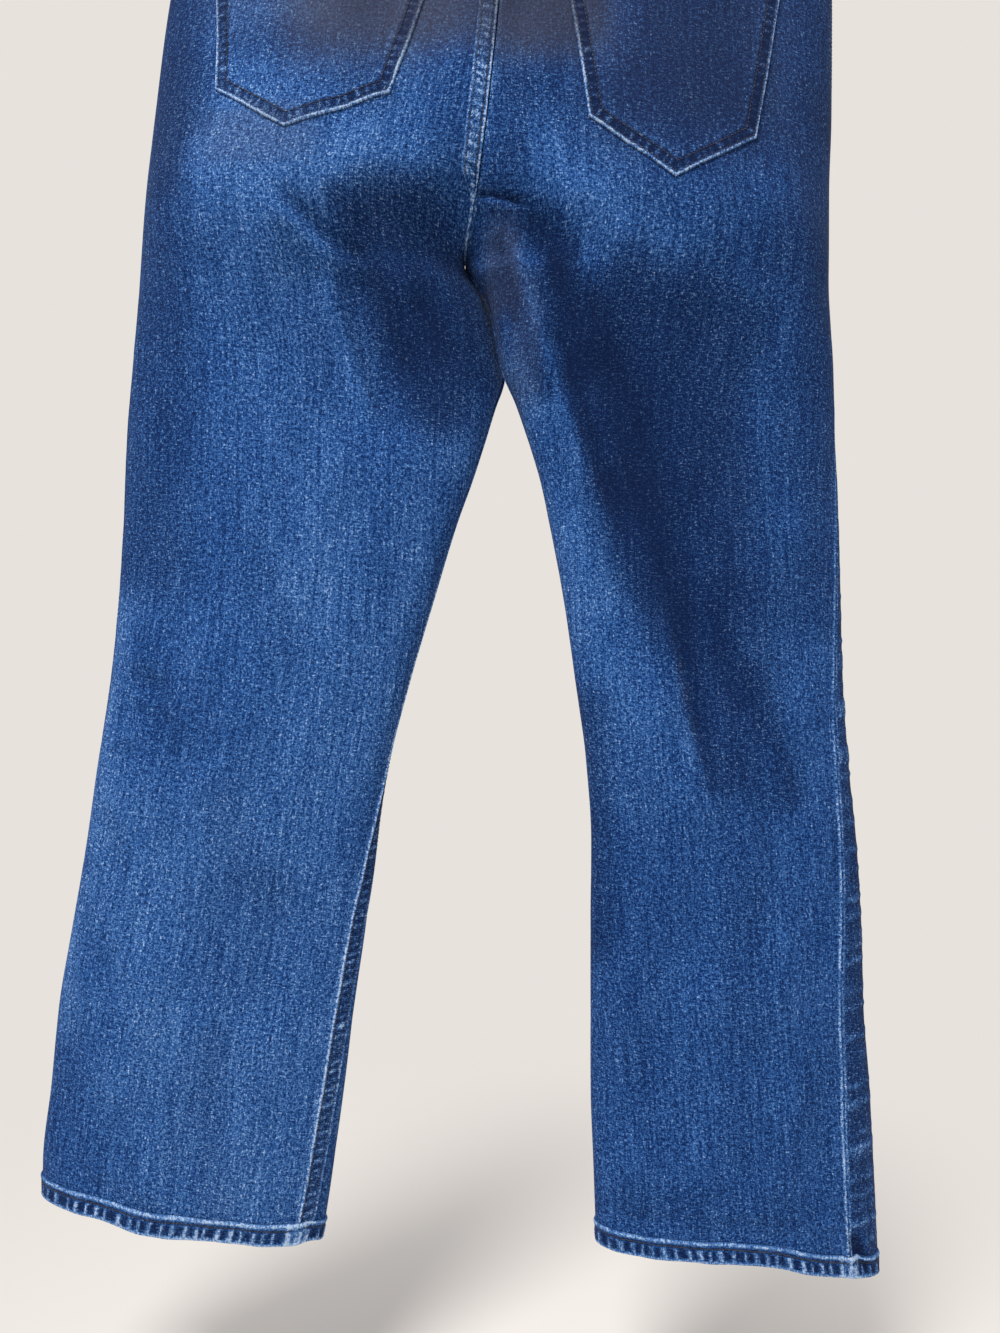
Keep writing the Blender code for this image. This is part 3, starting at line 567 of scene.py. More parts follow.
def soft_strokes(strokes, x, z, firmness=2.4):
    """How strongly a set of soft strokes covers each place, from 0 to 1."""
    left = np.ones(np.broadcast(x, z).shape)
    for stroke in strokes:
        run_x = stroke.x1 - stroke.x0
        run_z = stroke.z1 - stroke.z0
        t = np.clip(((x - stroke.x0) * run_x + (z - stroke.z0) * run_z) / (run_x ** 2 + run_z ** 2), 0, 1)
        away = np.hypot(x - stroke.x0 - t * run_x, z - stroke.z0 - t * run_z) / stroke.width
        left = left * (1 - stroke.strength * np.exp(-away ** firmness))
    return 1 - left


HALVES = {LEFT: Half(LEFT), RIGHT: Half(RIGHT)}


def wander(s, seed, wavelength):
    """An uneven wave between -1 and 1 along a length."""
    total = 0
    for number, (times, share) in enumerate(((1.0, 0.5), (1.73, 0.3), (2.91, 0.2))):
        total = total + share * np.sin(math.tau * times * s / wavelength + seed * 1.7 + number * 2.3)
    return total


def puckers(s, seed, pitch=PUCKER_PITCH):
    """Uneven cross ridges along a sewn strip, from 0 to 1 at each crest."""
    phase = s / pitch + 0.32 * wander(s, seed, 31.0)
    crest = (0.5 + 0.5 * np.cos(math.tau * phase)) ** 2.2
    return crest * (0.65 + 0.35 * wander(s, seed + 5, 43.0))


def slowing(count):
    """Shares from 0 to 1 that lie closer together at the end, for a rounded foot."""
    return np.sin(np.linspace(0, math.pi / 2, count))


def band(distance, start, end, start_soft=1.3, end_soft=1.3):
    """1 between two distances in from an edge, falling to 0 at both."""
    return np.clip((distance - start) / start_soft, 0, 1) * np.clip((end - distance) / end_soft, 0, 1)


def lap_inner(distance, width):
    """1 on a lap's middle, between its rows of stitches."""
    return np.clip((np.minimum(distance, width - distance) - 2.2) / 1.2, 0, 1)


def rounded(distance, radius):
    """Height of a folded edge, as a share, at a distance in from it."""
    inward = np.clip(1 - distance / radius, 0, 1)
    return np.sqrt(1 - 0.96 * inward ** 2)


def ridge(distance, width):
    return np.exp(-(distance / width) ** 2)


def with_edges(count, length, edge=(0.25, 0.6, 1.1)):
    """Shares of a length, even in the middle and with extra lines close to both ends."""
    close = np.array((0.0,) + edge) / length
    middle = np.linspace(1.8 / length, 1 - 1.8 / length, count)
    return np.concatenate([close, middle, 1 - close[::-1]])


# Meshes
def grid_faces(rows, columns, closed):
    """Faces of a closed shell between an outer and an inner grid, all turned the same way."""
    layer = rows * columns
    number = np.arange(layer).reshape(rows, columns)
    if closed:
        number = np.concatenate([number, number[:, :1]], axis=1)
    a, b, c, d = number[:-1, :-1], number[:-1, 1:], number[1:, 1:], number[1:, :-1]
    outer = np.stack([a, b, c, d], axis=-1).reshape(-1, 4)
    inner = outer[:, ::-1] + layer
    edges = [(number[0, 1:], number[0, :-1]), (number[-1, :-1], number[-1, 1:])]
    if not closed:
        edges += [(number[:-1, 0], number[1:, 0]), (number[1:, -1], number[:-1, -1])]
    rims = [np.stack([start, end, end + layer, start + layer], axis=-1) for start, end in edges]
    return np.concatenate([outer, inner] + rims)


def turned_outward(points, faces):
    """The faces, all reversed if the closed shape is inside out."""
    corners = points[faces]
    first, second, third, fourth = (corners[:, i] for i in range(4))
    volume = (first * np.cross(second, third)).sum() + (first * np.cross(third, fourth)).sum()
    return faces if volume > 0 else faces[:, ::-1]


def linked(name, data):
    """A new object in the scene, of a mesh, a lamp or a camera."""
    made = bpy.data.objects.new(name, data)
    bpy.context.scene.collection.objects.link(made)
    return made


def new_object(name, points, faces, material):
    """A smooth mesh object, from points in millimetres."""
    mesh = bpy.data.meshes.new(name)
    mesh.from_pydata((np.asarray(points, float) * MM).tolist(), [], faces)
    mesh.materials.append(material)
    mesh.shade_smooth()
    return linked(name, mesh)


def add_attribute(made, name, kind, values):
    layer = made.data.attributes.new(name, kind, "POINT")
    key = "color" if kind == "FLOAT_COLOR" else "vector"
    layer.data.foreach_set(key, np.ascontiguousarray(values, np.float32).ravel())


def shell(name, outside, inside, material, weave, wear, shade, painted_shadow_tint=0.0, fade=0.0, closed=False):
    """A closed cloth shell whose vertices carry their place in the weave, their wear and dark tone, and
    their painted light, shade and shadow tint.

    If its name ends in _cloth, it stands for the solid of that name."""
    rows, columns = outside.shape[:2]
    points = np.concatenate([outside.reshape(-1, 3), inside.reshape(-1, 3)])
    faces = turned_outward(points, grid_faces(rows, columns, closed))
    made = new_object(name, points, faces.tolist(), material)
    made.data.set_sharp_from_angle(angle=math.radians(SHARP_FROM))
    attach(made, "root")
    flat = np.zeros((rows, columns))
    # The four looks: wear; dark tone with painted shade; painted shadow tint; fade with painted light
    looks = np.stack([flat + wear, flat + shade, flat + painted_shadow_tint, flat + fade], axis=-1)
    under = looks.copy()
    under[..., 0] *= INSIDE_WEAR
    looks = np.concatenate([looks.reshape(-1, 4), under.reshape(-1, 4)])
    place = np.stack(np.broadcast_arrays(flat + weave[0], flat + weave[1], flat), axis=-1).reshape(-1, 3)
    add_attribute(made, "weave", "FLOAT_VECTOR", np.concatenate([place, place + (0, 0, INSIDE_WEAVE_AWAY)]))
    add_attribute(made, "looks", "FLOAT_COLOR", np.clip(looks, 0, MOST_SHADE))
    if name.endswith("_cloth"):
        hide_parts(name.removesuffix("_cloth"))
    return made


def laid(name, half, level, arc, outside, inside, wear=0.0, shade=0.0, material=None, closed=False,
         declared=True):
    """A shell that follows one half of the jeans, at two distances off its surface."""
    level, arc = np.broadcast_arrays(level, arc)
    place = half.at(level, arc)
    normal = half.outward(level, arc)
    on_back = ease((6.0 - place[..., 1]) / 12)
    x, z = place[..., 0], place[..., 2]
    # Painted light and painted shade from the strokes, and painted shadow from the patches, on the back;
    # worn fades and painted shade on the front
    fade_and_painted_light = soft_strokes(BACK_PAINTED_LIGHT, x, z) * on_back + soft_strokes(FRONT_FADES, x, z) * (1 - on_back)
    shaded = (BACK_SHADING * soft_strokes(BACK_PAINTED_SHADE, x, z, 3.4) * on_back
              + soft_strokes(FRONT_PAINTED_SHADE, x, z) * (1 - on_back))
    painted_shadow = soft_patches(PAINTED_SHADOW_PATCHES, x, z) * on_back
    back_creased = FOLD_SHADING * fold_height(BACK_FOLDS, x, z) + fold_height(BACK_CREASES, x, z)
    front_creased = FOLD_SHADING * fold_height(FRONT_FOLDS, x, z) + fold_height(FRONT_CREASES, x, z)
    creased = back_creased * on_back + front_creased * (1 - on_back)
    # Crease ridges are painted lighter, partly as wear and partly as painted highlight, and crease troughs
    # get painted shade
    fade_and_painted_light = fade_and_painted_light + 0.2 * np.clip(creased / 2.5, 0, 1)
    shaded = shaded + (0.12 + 0.26 * on_back) * np.clip(-creased / 4.5, 0, 1)
    weave = ((arc - half.back_length(level)) * half.side + 900 * half.side, level)
    outer = place + normal * np.asarray(outside)[..., None]
    inner = place + normal * np.asarray(inside)[..., None]
    made = shell(name, outer, inner, material or DENIM, weave, wear,
                 shade + shaded * (1 - np.clip(wear, 0, 1)), painted_shadow, fade_and_painted_light, closed)
    if declared:
        declare(arc, level)
    return made


# Materials
class Nodes:
    """Short calls for making one material's nodes."""

    def __init__(self, name):
        self.material = bpy.data.materials.new(name)
        self.material.use_nodes = True
        self.tree = self.material.node_tree
        self.shader = self.tree.nodes["Principled BSDF"]

    def add(self, kind, inputs=None, **settings):
        made = self.tree.nodes.new(kind)
        for key, value in settings.items():
            setattr(made, key, value)
        for key, value in (inputs or {}).items():
            if isinstance(value, bpy.types.NodeSocket):
                self.tree.links.new(value, made.inputs[key])
            else:
                made.inputs[key].default_value = value
        return made

    def math(self, operation, first, second=0.5, third=0.0):
        return self.add("ShaderNodeMath", {0: first, 1: second, 2: third}, operation=operation).outputs[0]

    def scaled(self, vector, x, y):
        made = self.add("ShaderNodeMapping", {"Vector": vector, "Scale": (x, y, 1.0)})
        return made.outputs["Vector"]

    def noise(self, vector, detail=2.0, roughness=0.5, scale=1.0):
        made = self.add("ShaderNodeTexNoise", {"Vector": vector, "Scale": scale, "Detail": detail,
                                               "Roughness": roughness})
        return made.outputs["Fac"]

    def between(self, value, low, high, start=0.0, end=1.0):
        made = self.add("ShaderNodeMapRange", {"Value": value, "From Min": low, "From Max": high,
                                               "To Min": start, "To Max": end},
                        interpolation_type="SMOOTHSTEP")
        return made.outputs["Result"]

    def ramp(self, value, stops):
        made = self.add("ShaderNodeValToRGB", {"Fac": value})
        points = made.color_ramp.elements
        while len(points) < len(stops):
            points.new(0.5)
        for point, (position, colour) in zip(points, stops):
            point.position = position
            point.color = (*colour, 1)
        return made.outputs["Color"]

    def mix(self, factor, first, second):
        """The socket numbers are those of the colour kind of this node."""
        return self.add("ShaderNodeMix", {0: factor, 6: first, 7: second}, data_type="RGBA").outputs[2]

    def surface(self, colour, height, bump, distance, **values):
        self.tree.links.new(colour, self.shader.inputs["Base Color"])
        bumped = self.add("ShaderNodeBump", {"Height": height, "Strength": bump, "Distance": distance})
        self.tree.links.new(bumped.outputs["Normal"], self.shader.inputs["Normal"])
        for key, value in values.items():
            self.shader.inputs[key.replace("_", " ")].default_value = value
        return self.material


def denim(name, contrast):
    """Washed twill: pale slubs along the warp, finer dashes across it, and each vertex's wear, its dark tone
    and painted shade, its fade and painted light, and its painted shadow tint.
    """
    make = Nodes(name)
    weave = make.add("ShaderNodeAttribute", attribute_name="weave").outputs["Vector"]
    looks = make.add("ShaderNodeAttribute", attribute_name="looks")
    parts = make.add("ShaderNodeSeparateColor", {"Color": looks.outputs["Color"]})
    wear, shade, painted_shadow_tint = (parts.outputs[i] for i in range(3))
    fade = looks.outputs["Alpha"]

    slubs = make.between(make.noise(make.scaled(weave, 0.95, 0.17), 3.0, 0.62), 0.5, 0.76)
    drift = make.noise(make.scaled(weave, 0.17, 0.12), 2.0, 0.45)
    squiggles = make.math("SINE", make.math("MULTIPLY", drift, 30.0))
    streaks = make.noise(make.scaled(weave, 0.42, 0.02), 2.0, 0.6)
    dashes = make.noise(make.scaled(weave, 0.3, 1.0), 2.0, 0.6)
    mottle = make.noise(make.scaled(weave, 0.7, 0.46), 3.0, 0.6)
    cloud = make.noise(make.scaled(weave, 0.022, 0.016), 3.0, 0.55)
    fine = make.noise(make.scaled(weave, 1.15, 1.0), 2.0, 0.6)
    twill = make.add("ShaderNodeTexWave", {"Vector": make.scaled(weave, 1.0, 0.62), "Scale": 0.42,
                                           "Distortion": 0.6, "Detail": 1.0},
                     bands_direction="DIAGONAL").outputs["Fac"]

    level = make.math("MULTIPLY_ADD", slubs, 0.28 * contrast, 0.24)
    textures = ((dashes, 0.75), (mottle, 1.15), (fine, 1.0), (streaks, 0.45), (cloud, 0.12))
    for texture, strength in textures:
        share = strength * contrast
        level = make.math("ADD", level, make.math("MULTIPLY_ADD", texture, share, -0.5 * share))
    level = make.math("MULTIPLY_ADD", squiggles, 0.055 * contrast, level)
    worn = make.math("MULTIPLY", wear, make.math("MULTIPLY_ADD", mottle, 1.1, 0.35))
    level = make.math("MULTIPLY_ADD", worn, 0.6, level)
    # fade lightens for worn fades and painted light; shade darkens for the cloth's dark tone and painted
    # shade, with more grain where it is set
    level = make.math("MULTIPLY_ADD", fade, 0.19, level)
    level = make.math("MULTIPLY_ADD", shade, -0.13, level)
    grain = make.math("SUBTRACT", make.math("ADD", dashes, fine), 1.0)
    level = make.math("MULTIPLY_ADD", make.math("MULTIPLY", grain, shade), 0.9, level)
    colour = make.ramp(level, (
        (0.0, (0.0012, 0.014, 0.078)),
        (0.25, (0.0085, 0.049, 0.19)),
        (0.5, (0.033, 0.112, 0.325)),
        (0.75, (0.105, 0.232, 0.5)),
        (1.0, (0.4, 0.53, 0.74)),
    ))
    # Painted shadow: where the shadow tint is set, the blue greys towards a dark grey, as cloth in shadow
    # under a warm fill light
    painted_shadow_colour = make.mix(make.math("MULTIPLY_ADD", mottle, 0.9, -0.05), (0.02, 0.021, 0.029, 1),
                      (0.1, 0.1, 0.118, 1))
    colour = make.mix(make.math("MULTIPLY", painted_shadow_tint, 0.8), colour, painted_shadow_colour)
    # Dark tone and painted shade: the colour is mixed towards a dark blue
    colour = make.mix(make.math("MULTIPLY", shade, 0.6), colour, (0.0006, 0.0068, 0.038, 1))

    height = make.math("MULTIPLY_ADD", slubs, 0.5, make.math("MULTIPLY", fine, 0.5))
    height = make.math("MULTIPLY_ADD", squiggles, 0.09, height)
    height = make.math("MULTIPLY_ADD", twill, 0.2, height)
    height = make.math("MULTIPLY_ADD", mottle, 0.6, height)
    return make.surface(colour, height, 0.75, 0.0006, Roughness=0.9, Sheen_Weight=0.03, Sheen_Roughness=0.5,
                        Specular_IOR_Level=0.1)


def thread():
    """Dark brown thread with a lighter twist."""
    make = Nodes("thread")
    along = make.add("ShaderNodeTexCoord").outputs["Object"]
    tint = make.noise(along, 2.0, 0.6, scale=260.0)
    twist = make.add("ShaderNodeTexWave", {"Vector": along, "Scale": 900.0, "Distortion": 1.5,
                                           "Detail": 1.0},
                     bands_direction="DIAGONAL").outputs["Fac"]
    colour = make.ramp(make.math("MULTIPLY_ADD", twist, 0.18, tint), (
        (0.42, (0.006, 0.006, 0.011)),
        (0.68, (0.018, 0.015, 0.018)),
        (0.95, (0.15, 0.105, 0.085)),
    ))
    return make.surface(colour, twist, 0.5, 0.0001, Roughness=0.62, Sheen_Weight=0.2,
                        Specular_IOR_Level=0.35)


def brass():
    make = Nodes("button_metal")
    along = make.add("ShaderNodeTexCoord").outputs["Object"]
    tint = make.noise(along, 4.0, 0.65, scale=420.0)
    colour = make.ramp(tint, (
        (0.3, (0.12, 0.085, 0.05)),
        (0.55, (0.42, 0.31, 0.18)),
        (0.8, (0.62, 0.5, 0.33)),
    ))
    make.tree.links.new(make.between(tint, 0.3, 0.8, 0.5, 0.26), make.shader.inputs["Roughness"])
    return make.surface(colour, tint, 0.2, 0.0001, Metallic=0.95)


DENIM = denim("denim", 1.35)
HEM_DENIM = denim("hem_denim", 1.0)
THREAD = thread()
BRASS = brass()


# Sewing
def tube_faces(rings, sides):
    """Faces between rings of points that follow each other."""
    return [[r * sides + i, r * sides + (i + 1) % sides,
             (r + 1) * sides + (i + 1) % sides, (r + 1) * sides + i]
            for r in range(rings - 1) for i in range(sides)]


def thread_stitches(name, rows, pitch=STITCH_PITCH, length=STITCH_LENGTH, sway=0.0):
    """Rows of separate stitches along lines of places with their outward directions, joined in one mesh."""
    sides = 4
    share = np.array([0.0, 0.14, 0.5, 0.86, 1.0])
    fat = THREAD_RADIUS * np.array([0.35, 0.9, 1.0, 0.9, 0.35])[:, None, None]
    rise = np.array([-0.28, 0.05, 0.22, 0.05, -0.28])
    turn = np.arange(sides) * math.tau / sides
    around = tube_faces(len(share), sides)
    around += [list(range(sides))[::-1], [(len(share) - 1) * sides + i for i in range(sides)]]
    points = []
    faces = []
    for place, normal in rows:
        run = run_along(place)
        start = np.arange(0.3, run[-1] - length, pitch)
        drift = 0.12 * np.sin(start * 1.9) + 0.08 * np.sin(start * 4.7)
        for number, from_start in enumerate(start):
            begin, finish = from_start + drift[number], from_start + drift[number] + length
            head, tail, up = (np.array([np.interp(at, run, line[:, i]) for i in range(3)])
                              for at, line in ((begin, place), (finish, place), (begin, normal)))
            along = tail - head
            aside = np.cross(along, up)
            aside = aside / np.linalg.norm(aside)
            lean = sway * (1 if number % 2 else -1)
            core = head + np.outer(share, along) + np.outer(rise, up)
            core = core + np.outer(np.sin(share * math.pi), aside) * lean
            ring = np.cos(turn)[:, None] * aside + np.sin(turn)[:, None] * up
            count = len(points) * sides * len(share)
            points.append((core[:, None] + ring[None] * fat).reshape(-1, 3))
            faces += [[count + corner for corner in face] for face in around]
    made = new_object(name, np.concatenate(points), faces, THREAD)
    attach(made, "root")


def row_on(half, level, arc, off):
    """A line on the cloth for stitches, lifted off it by the height of what it is sewn through."""
    level, arc = np.broadcast_arrays(np.asarray(level, float), np.asarray(arc, float))
    normal = half.outward(level, arc)
    return half.at(level, arc) + normal * np.asarray(off)[..., None], normal


def line_between(corners):
    """Places every millimetre along straight lines between corners, each a distance round and a level."""
    run = run_along(corners)
    s = np.linspace(0, run[-1], max(int(run[-1]), 2) + 1)
    return np.interp(s, run, corners[:, 0]), np.interp(s, run, corners[:, 1])


def declare(arc, level, with_pieces=()):
    """Broadcast a cut's distances round the cloth and its levels against each other; nothing about the flat
    cut is stated.
    """
    level, arc = np.broadcast_arrays(level, arc)


# Pieces
def even_levels(top, foot, step):
    return np.linspace(top, foot, max(int(abs(top - foot) / step), 2) + 1)


def panel_levels(top):
    """Rows of a panel below its shaped top, with one on the crotch."""
    foot = HEM_LEVEL + HEM_HEIGHT + GAP
    stretches = ((top, CREASED_FROM, PANEL_STEP), (CREASED_FROM, CROTCH_LEVEL, CREASED_STEP),
                 (CROTCH_LEVEL, CREASED_TO, CREASED_STEP), (CREASED_TO, foot + 26, PANEL_STEP),
                 (foot + 26, foot, CREASED_STEP))
    rows = [even_levels(*stretch)[:-1] for stretch in stretches]
    return np.concatenate(rows + [[foot]])


def back_panel(half):
    """The back of one leg and half of the seat, with the thin ridges of its outseam."""
    share = crowded(BACK_SPANS)
    top = yoke_seam(share) - GAP / 2
    upper = [top + (LEVEL_ROWS_FROM - top) * part for part in np.linspace(0, 1, 16)[:-1]]
    level = np.array(upper + [np.full(len(share), z) for z in panel_levels(LEVEL_ROWS_FROM)])
    start, end = half.seams(level)
    start = start + GAP / 2
    end = end - GAP / 2
    arc = start + (end - start) * share
    wear = 0.35 * ridge(arc - start, 2.0) + 0.2 * ridge(end - arc, 2.0)
    made = laid("back_" + half.word + "_cloth", half, level, arc, 0.0, -WALL, wear, declared=False)
    declare(arc, level, with_pieces=[outseam_ridges(half)])


def front_panel(half):
    share = crowded(FRONT_SPANS)
    down = slowing(34)
    rows = [(PANEL_TOP - POCKET_SCOOP_DEPTH * d, scoop_width(d)) for d in down]
    first = rows[-1][0] - GAP - 0.3
    rows += [(z, 0.0) for z in np.concatenate([[first], panel_levels(first - 2.5)])]
    level = np.array([row[0] for row in rows])[:, None] + np.zeros(len(share))
    scoop = np.array([row[1] for row in rows])[:, None]
    start, end = half.seams(level)
    end = end + scoop + GAP / 2
    start = half.whole_length(level) + start - GAP / 2
    arc = end + (start - end) * share
    wear = 0.3 * ridge(start - arc, 2.0) + ridge(arc - end, 1.6) * np.where(scoop > 0, 0.9, 0.2)
    # Beside the outseam, most on the right leg low down, the front panel is darker between pale puckers:
    # roping wear, and painted shade where the cloth turns away from the light
    low = ease((-level - 400) / 300) * (1 if half.side == RIGHT else 0.3)
    beside = np.exp(-((arc - end - BAND_WIDTH / 2) / (0.6 * BAND_WIDTH)) ** 4)
    patchy = 0.7 + 0.3 * wander(arc - end - 0.4 * level, 3, 17.0)
    blotches = np.clip(1.7 * patchy * puckers(-level + 0.2 * (arc - end), 31, 16.0) - 0.1, 0, 1)
    wear = wear + 0.6 * low * beside * blotches
    laid("front_" + half.word + "_cloth", half, level, arc, 1.1 * low * beside * blotches, -WALL, wear,
         0.7 * low * beside * (1 - 0.9 * blotches))


def yoke(half):
    share = crowded(FRONT_SPANS)
    foot = yoke_seam(share) + GAP / 2
    level = PANEL_TOP + (foot - PANEL_TOP) * np.linspace(0, 1, 24)[:, None]
    start, end = half.seams(level)
    arc = start + GAP / 2 + (end - start - GAP) * share
    laid("yoke_" + half.word + "_cloth", half, level, arc, 0.0, -WALL, 0.15 * ridge(level - foot, 3.0))


def lap_height(d, width, s, seed):
    """Height of a felled seam's strip across its width, with its ridges, stitch grooves and puckers."""
    edge = np.minimum(d, width - d)
    height = LAP_RISE * rounded(edge, 0.9) + 0.35 * ridge(edge - 1.0, 0.8)
    height = height - 0.28 * ridge(edge - ROW_FROM_EDGE, 0.6)
    between = np.clip((edge - 2.6) / 1.5, 0, 1)
    return height + between * (0.34 * puckers(s, seed) - 0.1)


def lap_strip(name, half, levels, start, width, seed, bright=1.0, dark=0.95, pale=0.0, calm=0.0):
    """A strip of doubled cloth beside a seam; width is negative where it runs against the arc."""
    share = with_edges(13, LAP_WIDTH)
    level = levels[:, None] + np.zeros(len(share))
    wide = np.abs(width)[:, None]
    d = share * wide
    arc = start[:, None] + np.sign(width)[:, None] * d
    s = -level
    across = d / wide * LAP_WIDTH
    height = LAP_LIFT + lap_height(across, LAP_WIDTH, s, seed) * np.clip(wide / LAP_WIDTH + 0.35, 0, 1)
    crest = puckers(s + 0.3 * across, seed)
    inner = lap_inner(across, LAP_WIDTH)
    edges = 1.1 * ridge(across - 0.9, 1.0) + 0.55 * ridge(LAP_WIDTH - across - 0.9, 1.0)
    pinched = np.clip((0.6 - wide / LAP_WIDTH) / 0.3, 0, 1)
    calm = (np.zeros(len(levels)) + calm)[:, None]
    wear = (bright * edges + inner * (pale + 0.75 * crest)) * (1 - pinched) * (1 - calm) + 0.85 * pinched
    # Dark between the puckers, as worn denim is, and painted shade in the groove of the first row of
    # stitches
    shade = (dark * inner * (1 - crest) + 0.9 * ridge(across - 2.6, 0.7)) * (1 - pinched) * (1 - calm)
    laid(name, half, level, arc, height, LAP_INSIDE, wear, shade)
    rows = []
    for d_row in (ROW_FROM_EDGE + 0.1, LAP_WIDTH - ROW_FROM_EDGE):
        keep = (np.abs(width) > 0.75 * LAP_WIDTH) & (calm[:, 0] < 0.5)
        line = start + np.sign(width) * d_row * np.abs(width) / LAP_WIDTH
        rows.append(row_on(half, levels[keep], line[keep], LAP_STITCHES_OFF))
    return rows


def seat_lap():
    half = HALVES[LEFT]
    levels = even_levels(LAP_TOP, CROTCH_LEVEL + 1.0, 1.2)
    pinch = ease((levels - LAP_PINCH_TO) / (LAP_PINCH_FROM - LAP_PINCH_TO))
    width = LAP_PINCHED_WIDTH + (LAP_WIDTH - LAP_PINCHED_WIDTH) * pinch
    start = np.full(len(levels), 0.1)
    return lap_strip("seat_seam_lap", half, levels, start, width, 1, dark=0.35, pale=0.35)


def rise_lap():
    half = HALVES[LEFT]
    levels = even_levels(-WAISTBAND_HEIGHT - FLY_LENGTH - 2.5, CROTCH_LEVEL + 12.0, 1.3)
    start = half.whole_length(levels) - 0.1
    return lap_strip("front_rise_lap", half, levels, start, np.full(len(levels), -LAP_WIDTH), 2, dark=0.5)


def inseam_lap(half):
    top = CROTCH_LEVEL - (1.0 if half.side == LEFT else 5.0)
    levels = even_levels(top, LAP_FOOT, 1.8)
    start = half.turn(levels) + 0.6
    calm = ease((levels + 560.0) / 90.0)
    width = np.full(len(levels), -LAP_WIDTH)
    return lap_strip("inseam_lap_" + half.word, half, levels, start, width, 3, 0.9, calm=calm)


def outseam_ridges(half):
    """The outseam's two thin pale ridges, either side of the line where the panels meet."""
    levels = even_levels(LAP_TOP, LAP_FOOT, 2.0)
    d = with_edges(9, OUTSEAM_WIDTH, (0.3, 0.8)) * OUTSEAM_WIDTH - OUTSEAM_WIDTH / 2
    level = levels[:, None] + np.zeros(len(d))
    arc = half.seams(level)[1] + d
    far_ridge = ridge(d - OUTSEAM_RIDGE_APART / 2, 0.9)
    ridges = far_ridge + ridge(d + OUTSEAM_RIDGE_APART / 2, 1.05)
    edge = rounded(OUTSEAM_WIDTH / 2 - np.abs(d), 1.2)
    uneven = 0.75 + 0.25 * wander(level, 4, 47.0)
    height = 0.2 + OUTSEAM_RISE * (0.35 * edge + ridges * uneven)
    low = np.clip((-level - 250) / 700, 0, 1)
    wear = (ridges - 0.45 * far_ridge) * (0.45 + 1.1 * low) * uneven
    return laid("outseam_" + half.word, half, level, arc, height, 0.05, wear, 0.5 * ridge(d, 0.7),
                declared=False)


def yoke_lap(half):
    """The lapped edge along the yoke's seam, with its two rows of stitches."""
    share = np.linspace(0, 1, 150)
    d = (with_edges(9, YOKE_LAP_WIDTH) * YOKE_LAP_WIDTH)[:, None]
    level = yoke_seam(share) + d
    start, end = half.seams(level)
    start = start + (LAP_WIDTH if half.side == LEFT else 0) + 0.3
    arc = start + (end - OUTSEAM_WIDTH / 2 - 0.3 - start) * share
    height = LAP_LIFT + lap_height(d, YOKE_LAP_WIDTH, arc, 6)
    crest = puckers(arc, 6)
    inner = lap_inner(d, YOKE_LAP_WIDTH)
    wear = 0.9 * ridge(d - 0.9, 1.0) + 0.4 * ridge(YOKE_LAP_WIDTH - d - 0.9, 1.0) + 0.5 * inner * crest
    made = laid("yoke_lap_" + half.word, half, level, arc, height, LAP_INSIDE, wear,
                0.7 * inner * (1 - crest), declared=False)
    return [row_on(half, yoke_seam(share) + d_row, arc[0], LAP_STITCHES_OFF)
            for d_row in (ROW_FROM_EDGE, YOKE_LAP_WIDTH - ROW_FROM_EDGE)]


def pocket_corners(side):
    pocket = POCKETS[side]
    tip_arc = pocket.inner_foot[0] + (pocket.outer_foot[0] - pocket.inner_foot[0]) * POCKET_TIP_ACROSS
    return np.array([pocket.inner_top, pocket.inner_foot, (tip_arc, pocket.tip_level), pocket.outer_foot,
                     pocket.outer_top])


def edge_distance(arc, level, corners):
    """Distance to the nearest of the lines between corners, and how far along them the nearest place is."""
    best = np.full(arc.shape, 1e9)
    along = np.zeros(arc.shape)
    run = 0.0
    for first, last in zip(corners[:-1], corners[1:]):
        line = last - first
        length = float(np.linalg.norm(line))
        t = np.clip(((arc - first[0]) * line[0] + (level - first[1]) * line[1]) / length ** 2, 0, 1)
        away = np.hypot(arc - first[0] - t * line[0], level - first[1] - t * line[1])
        nearer = away < best
        best = np.where(nearer, away, best)
        along = np.where(nearer, run + t * length, along)
        run += length
    return best, along


def inset(corners, distance):
    """An open line of corners moved in towards the middle of the shape that they go round."""
    middle = corners.mean(axis=0)
    lines = []
    for first, last in zip(corners[:-1], corners[1:]):
        along = (last - first) / np.linalg.norm(last - first)
        inward = np.array([-along[1], along[0]])
        if np.dot(middle - first, inward) < 0:
            inward = -inward
        lines.append((first + inward * distance, along))
    moved = [lines[0][0]]
    for (a, u), (b, v) in zip(lines[:-1], lines[1:]):
        t = ((b - a)[0] * v[1] - (b - a)[1] * v[0]) / (u[0] * v[1] - u[1] * v[0])
        moved.append(a + u * t)
    last_start, last_along = lines[-1]
    moved.append(last_start + last_along * np.dot(corners[-1] - last_start, last_along))
    return np.array(moved)


def pocket_height(d, s, top_d, seed):
    crest = puckers(s, seed)
    height = PATCH_LIFT * 0.7 + PATCH_WALL * rounded(d, 1.0) + 0.42 * ridge(d - 1.1, 0.9)
    height = height - 0.32 * (ridge(d - ROW_FROM_EDGE, 0.6) + ridge(d - ROW_FROM_EDGE - ROWS_APART, 0.6))
    height = height + band(d, 2.6, 9.6) * (0.42 * crest - 0.1) + 0.25 * crest * ridge(d - 11.2, 1.8)
    return height + 0.5 * np.clip((13.5 - top_d) / 1.2, 0, 1) * rounded(top_d, 1.0)


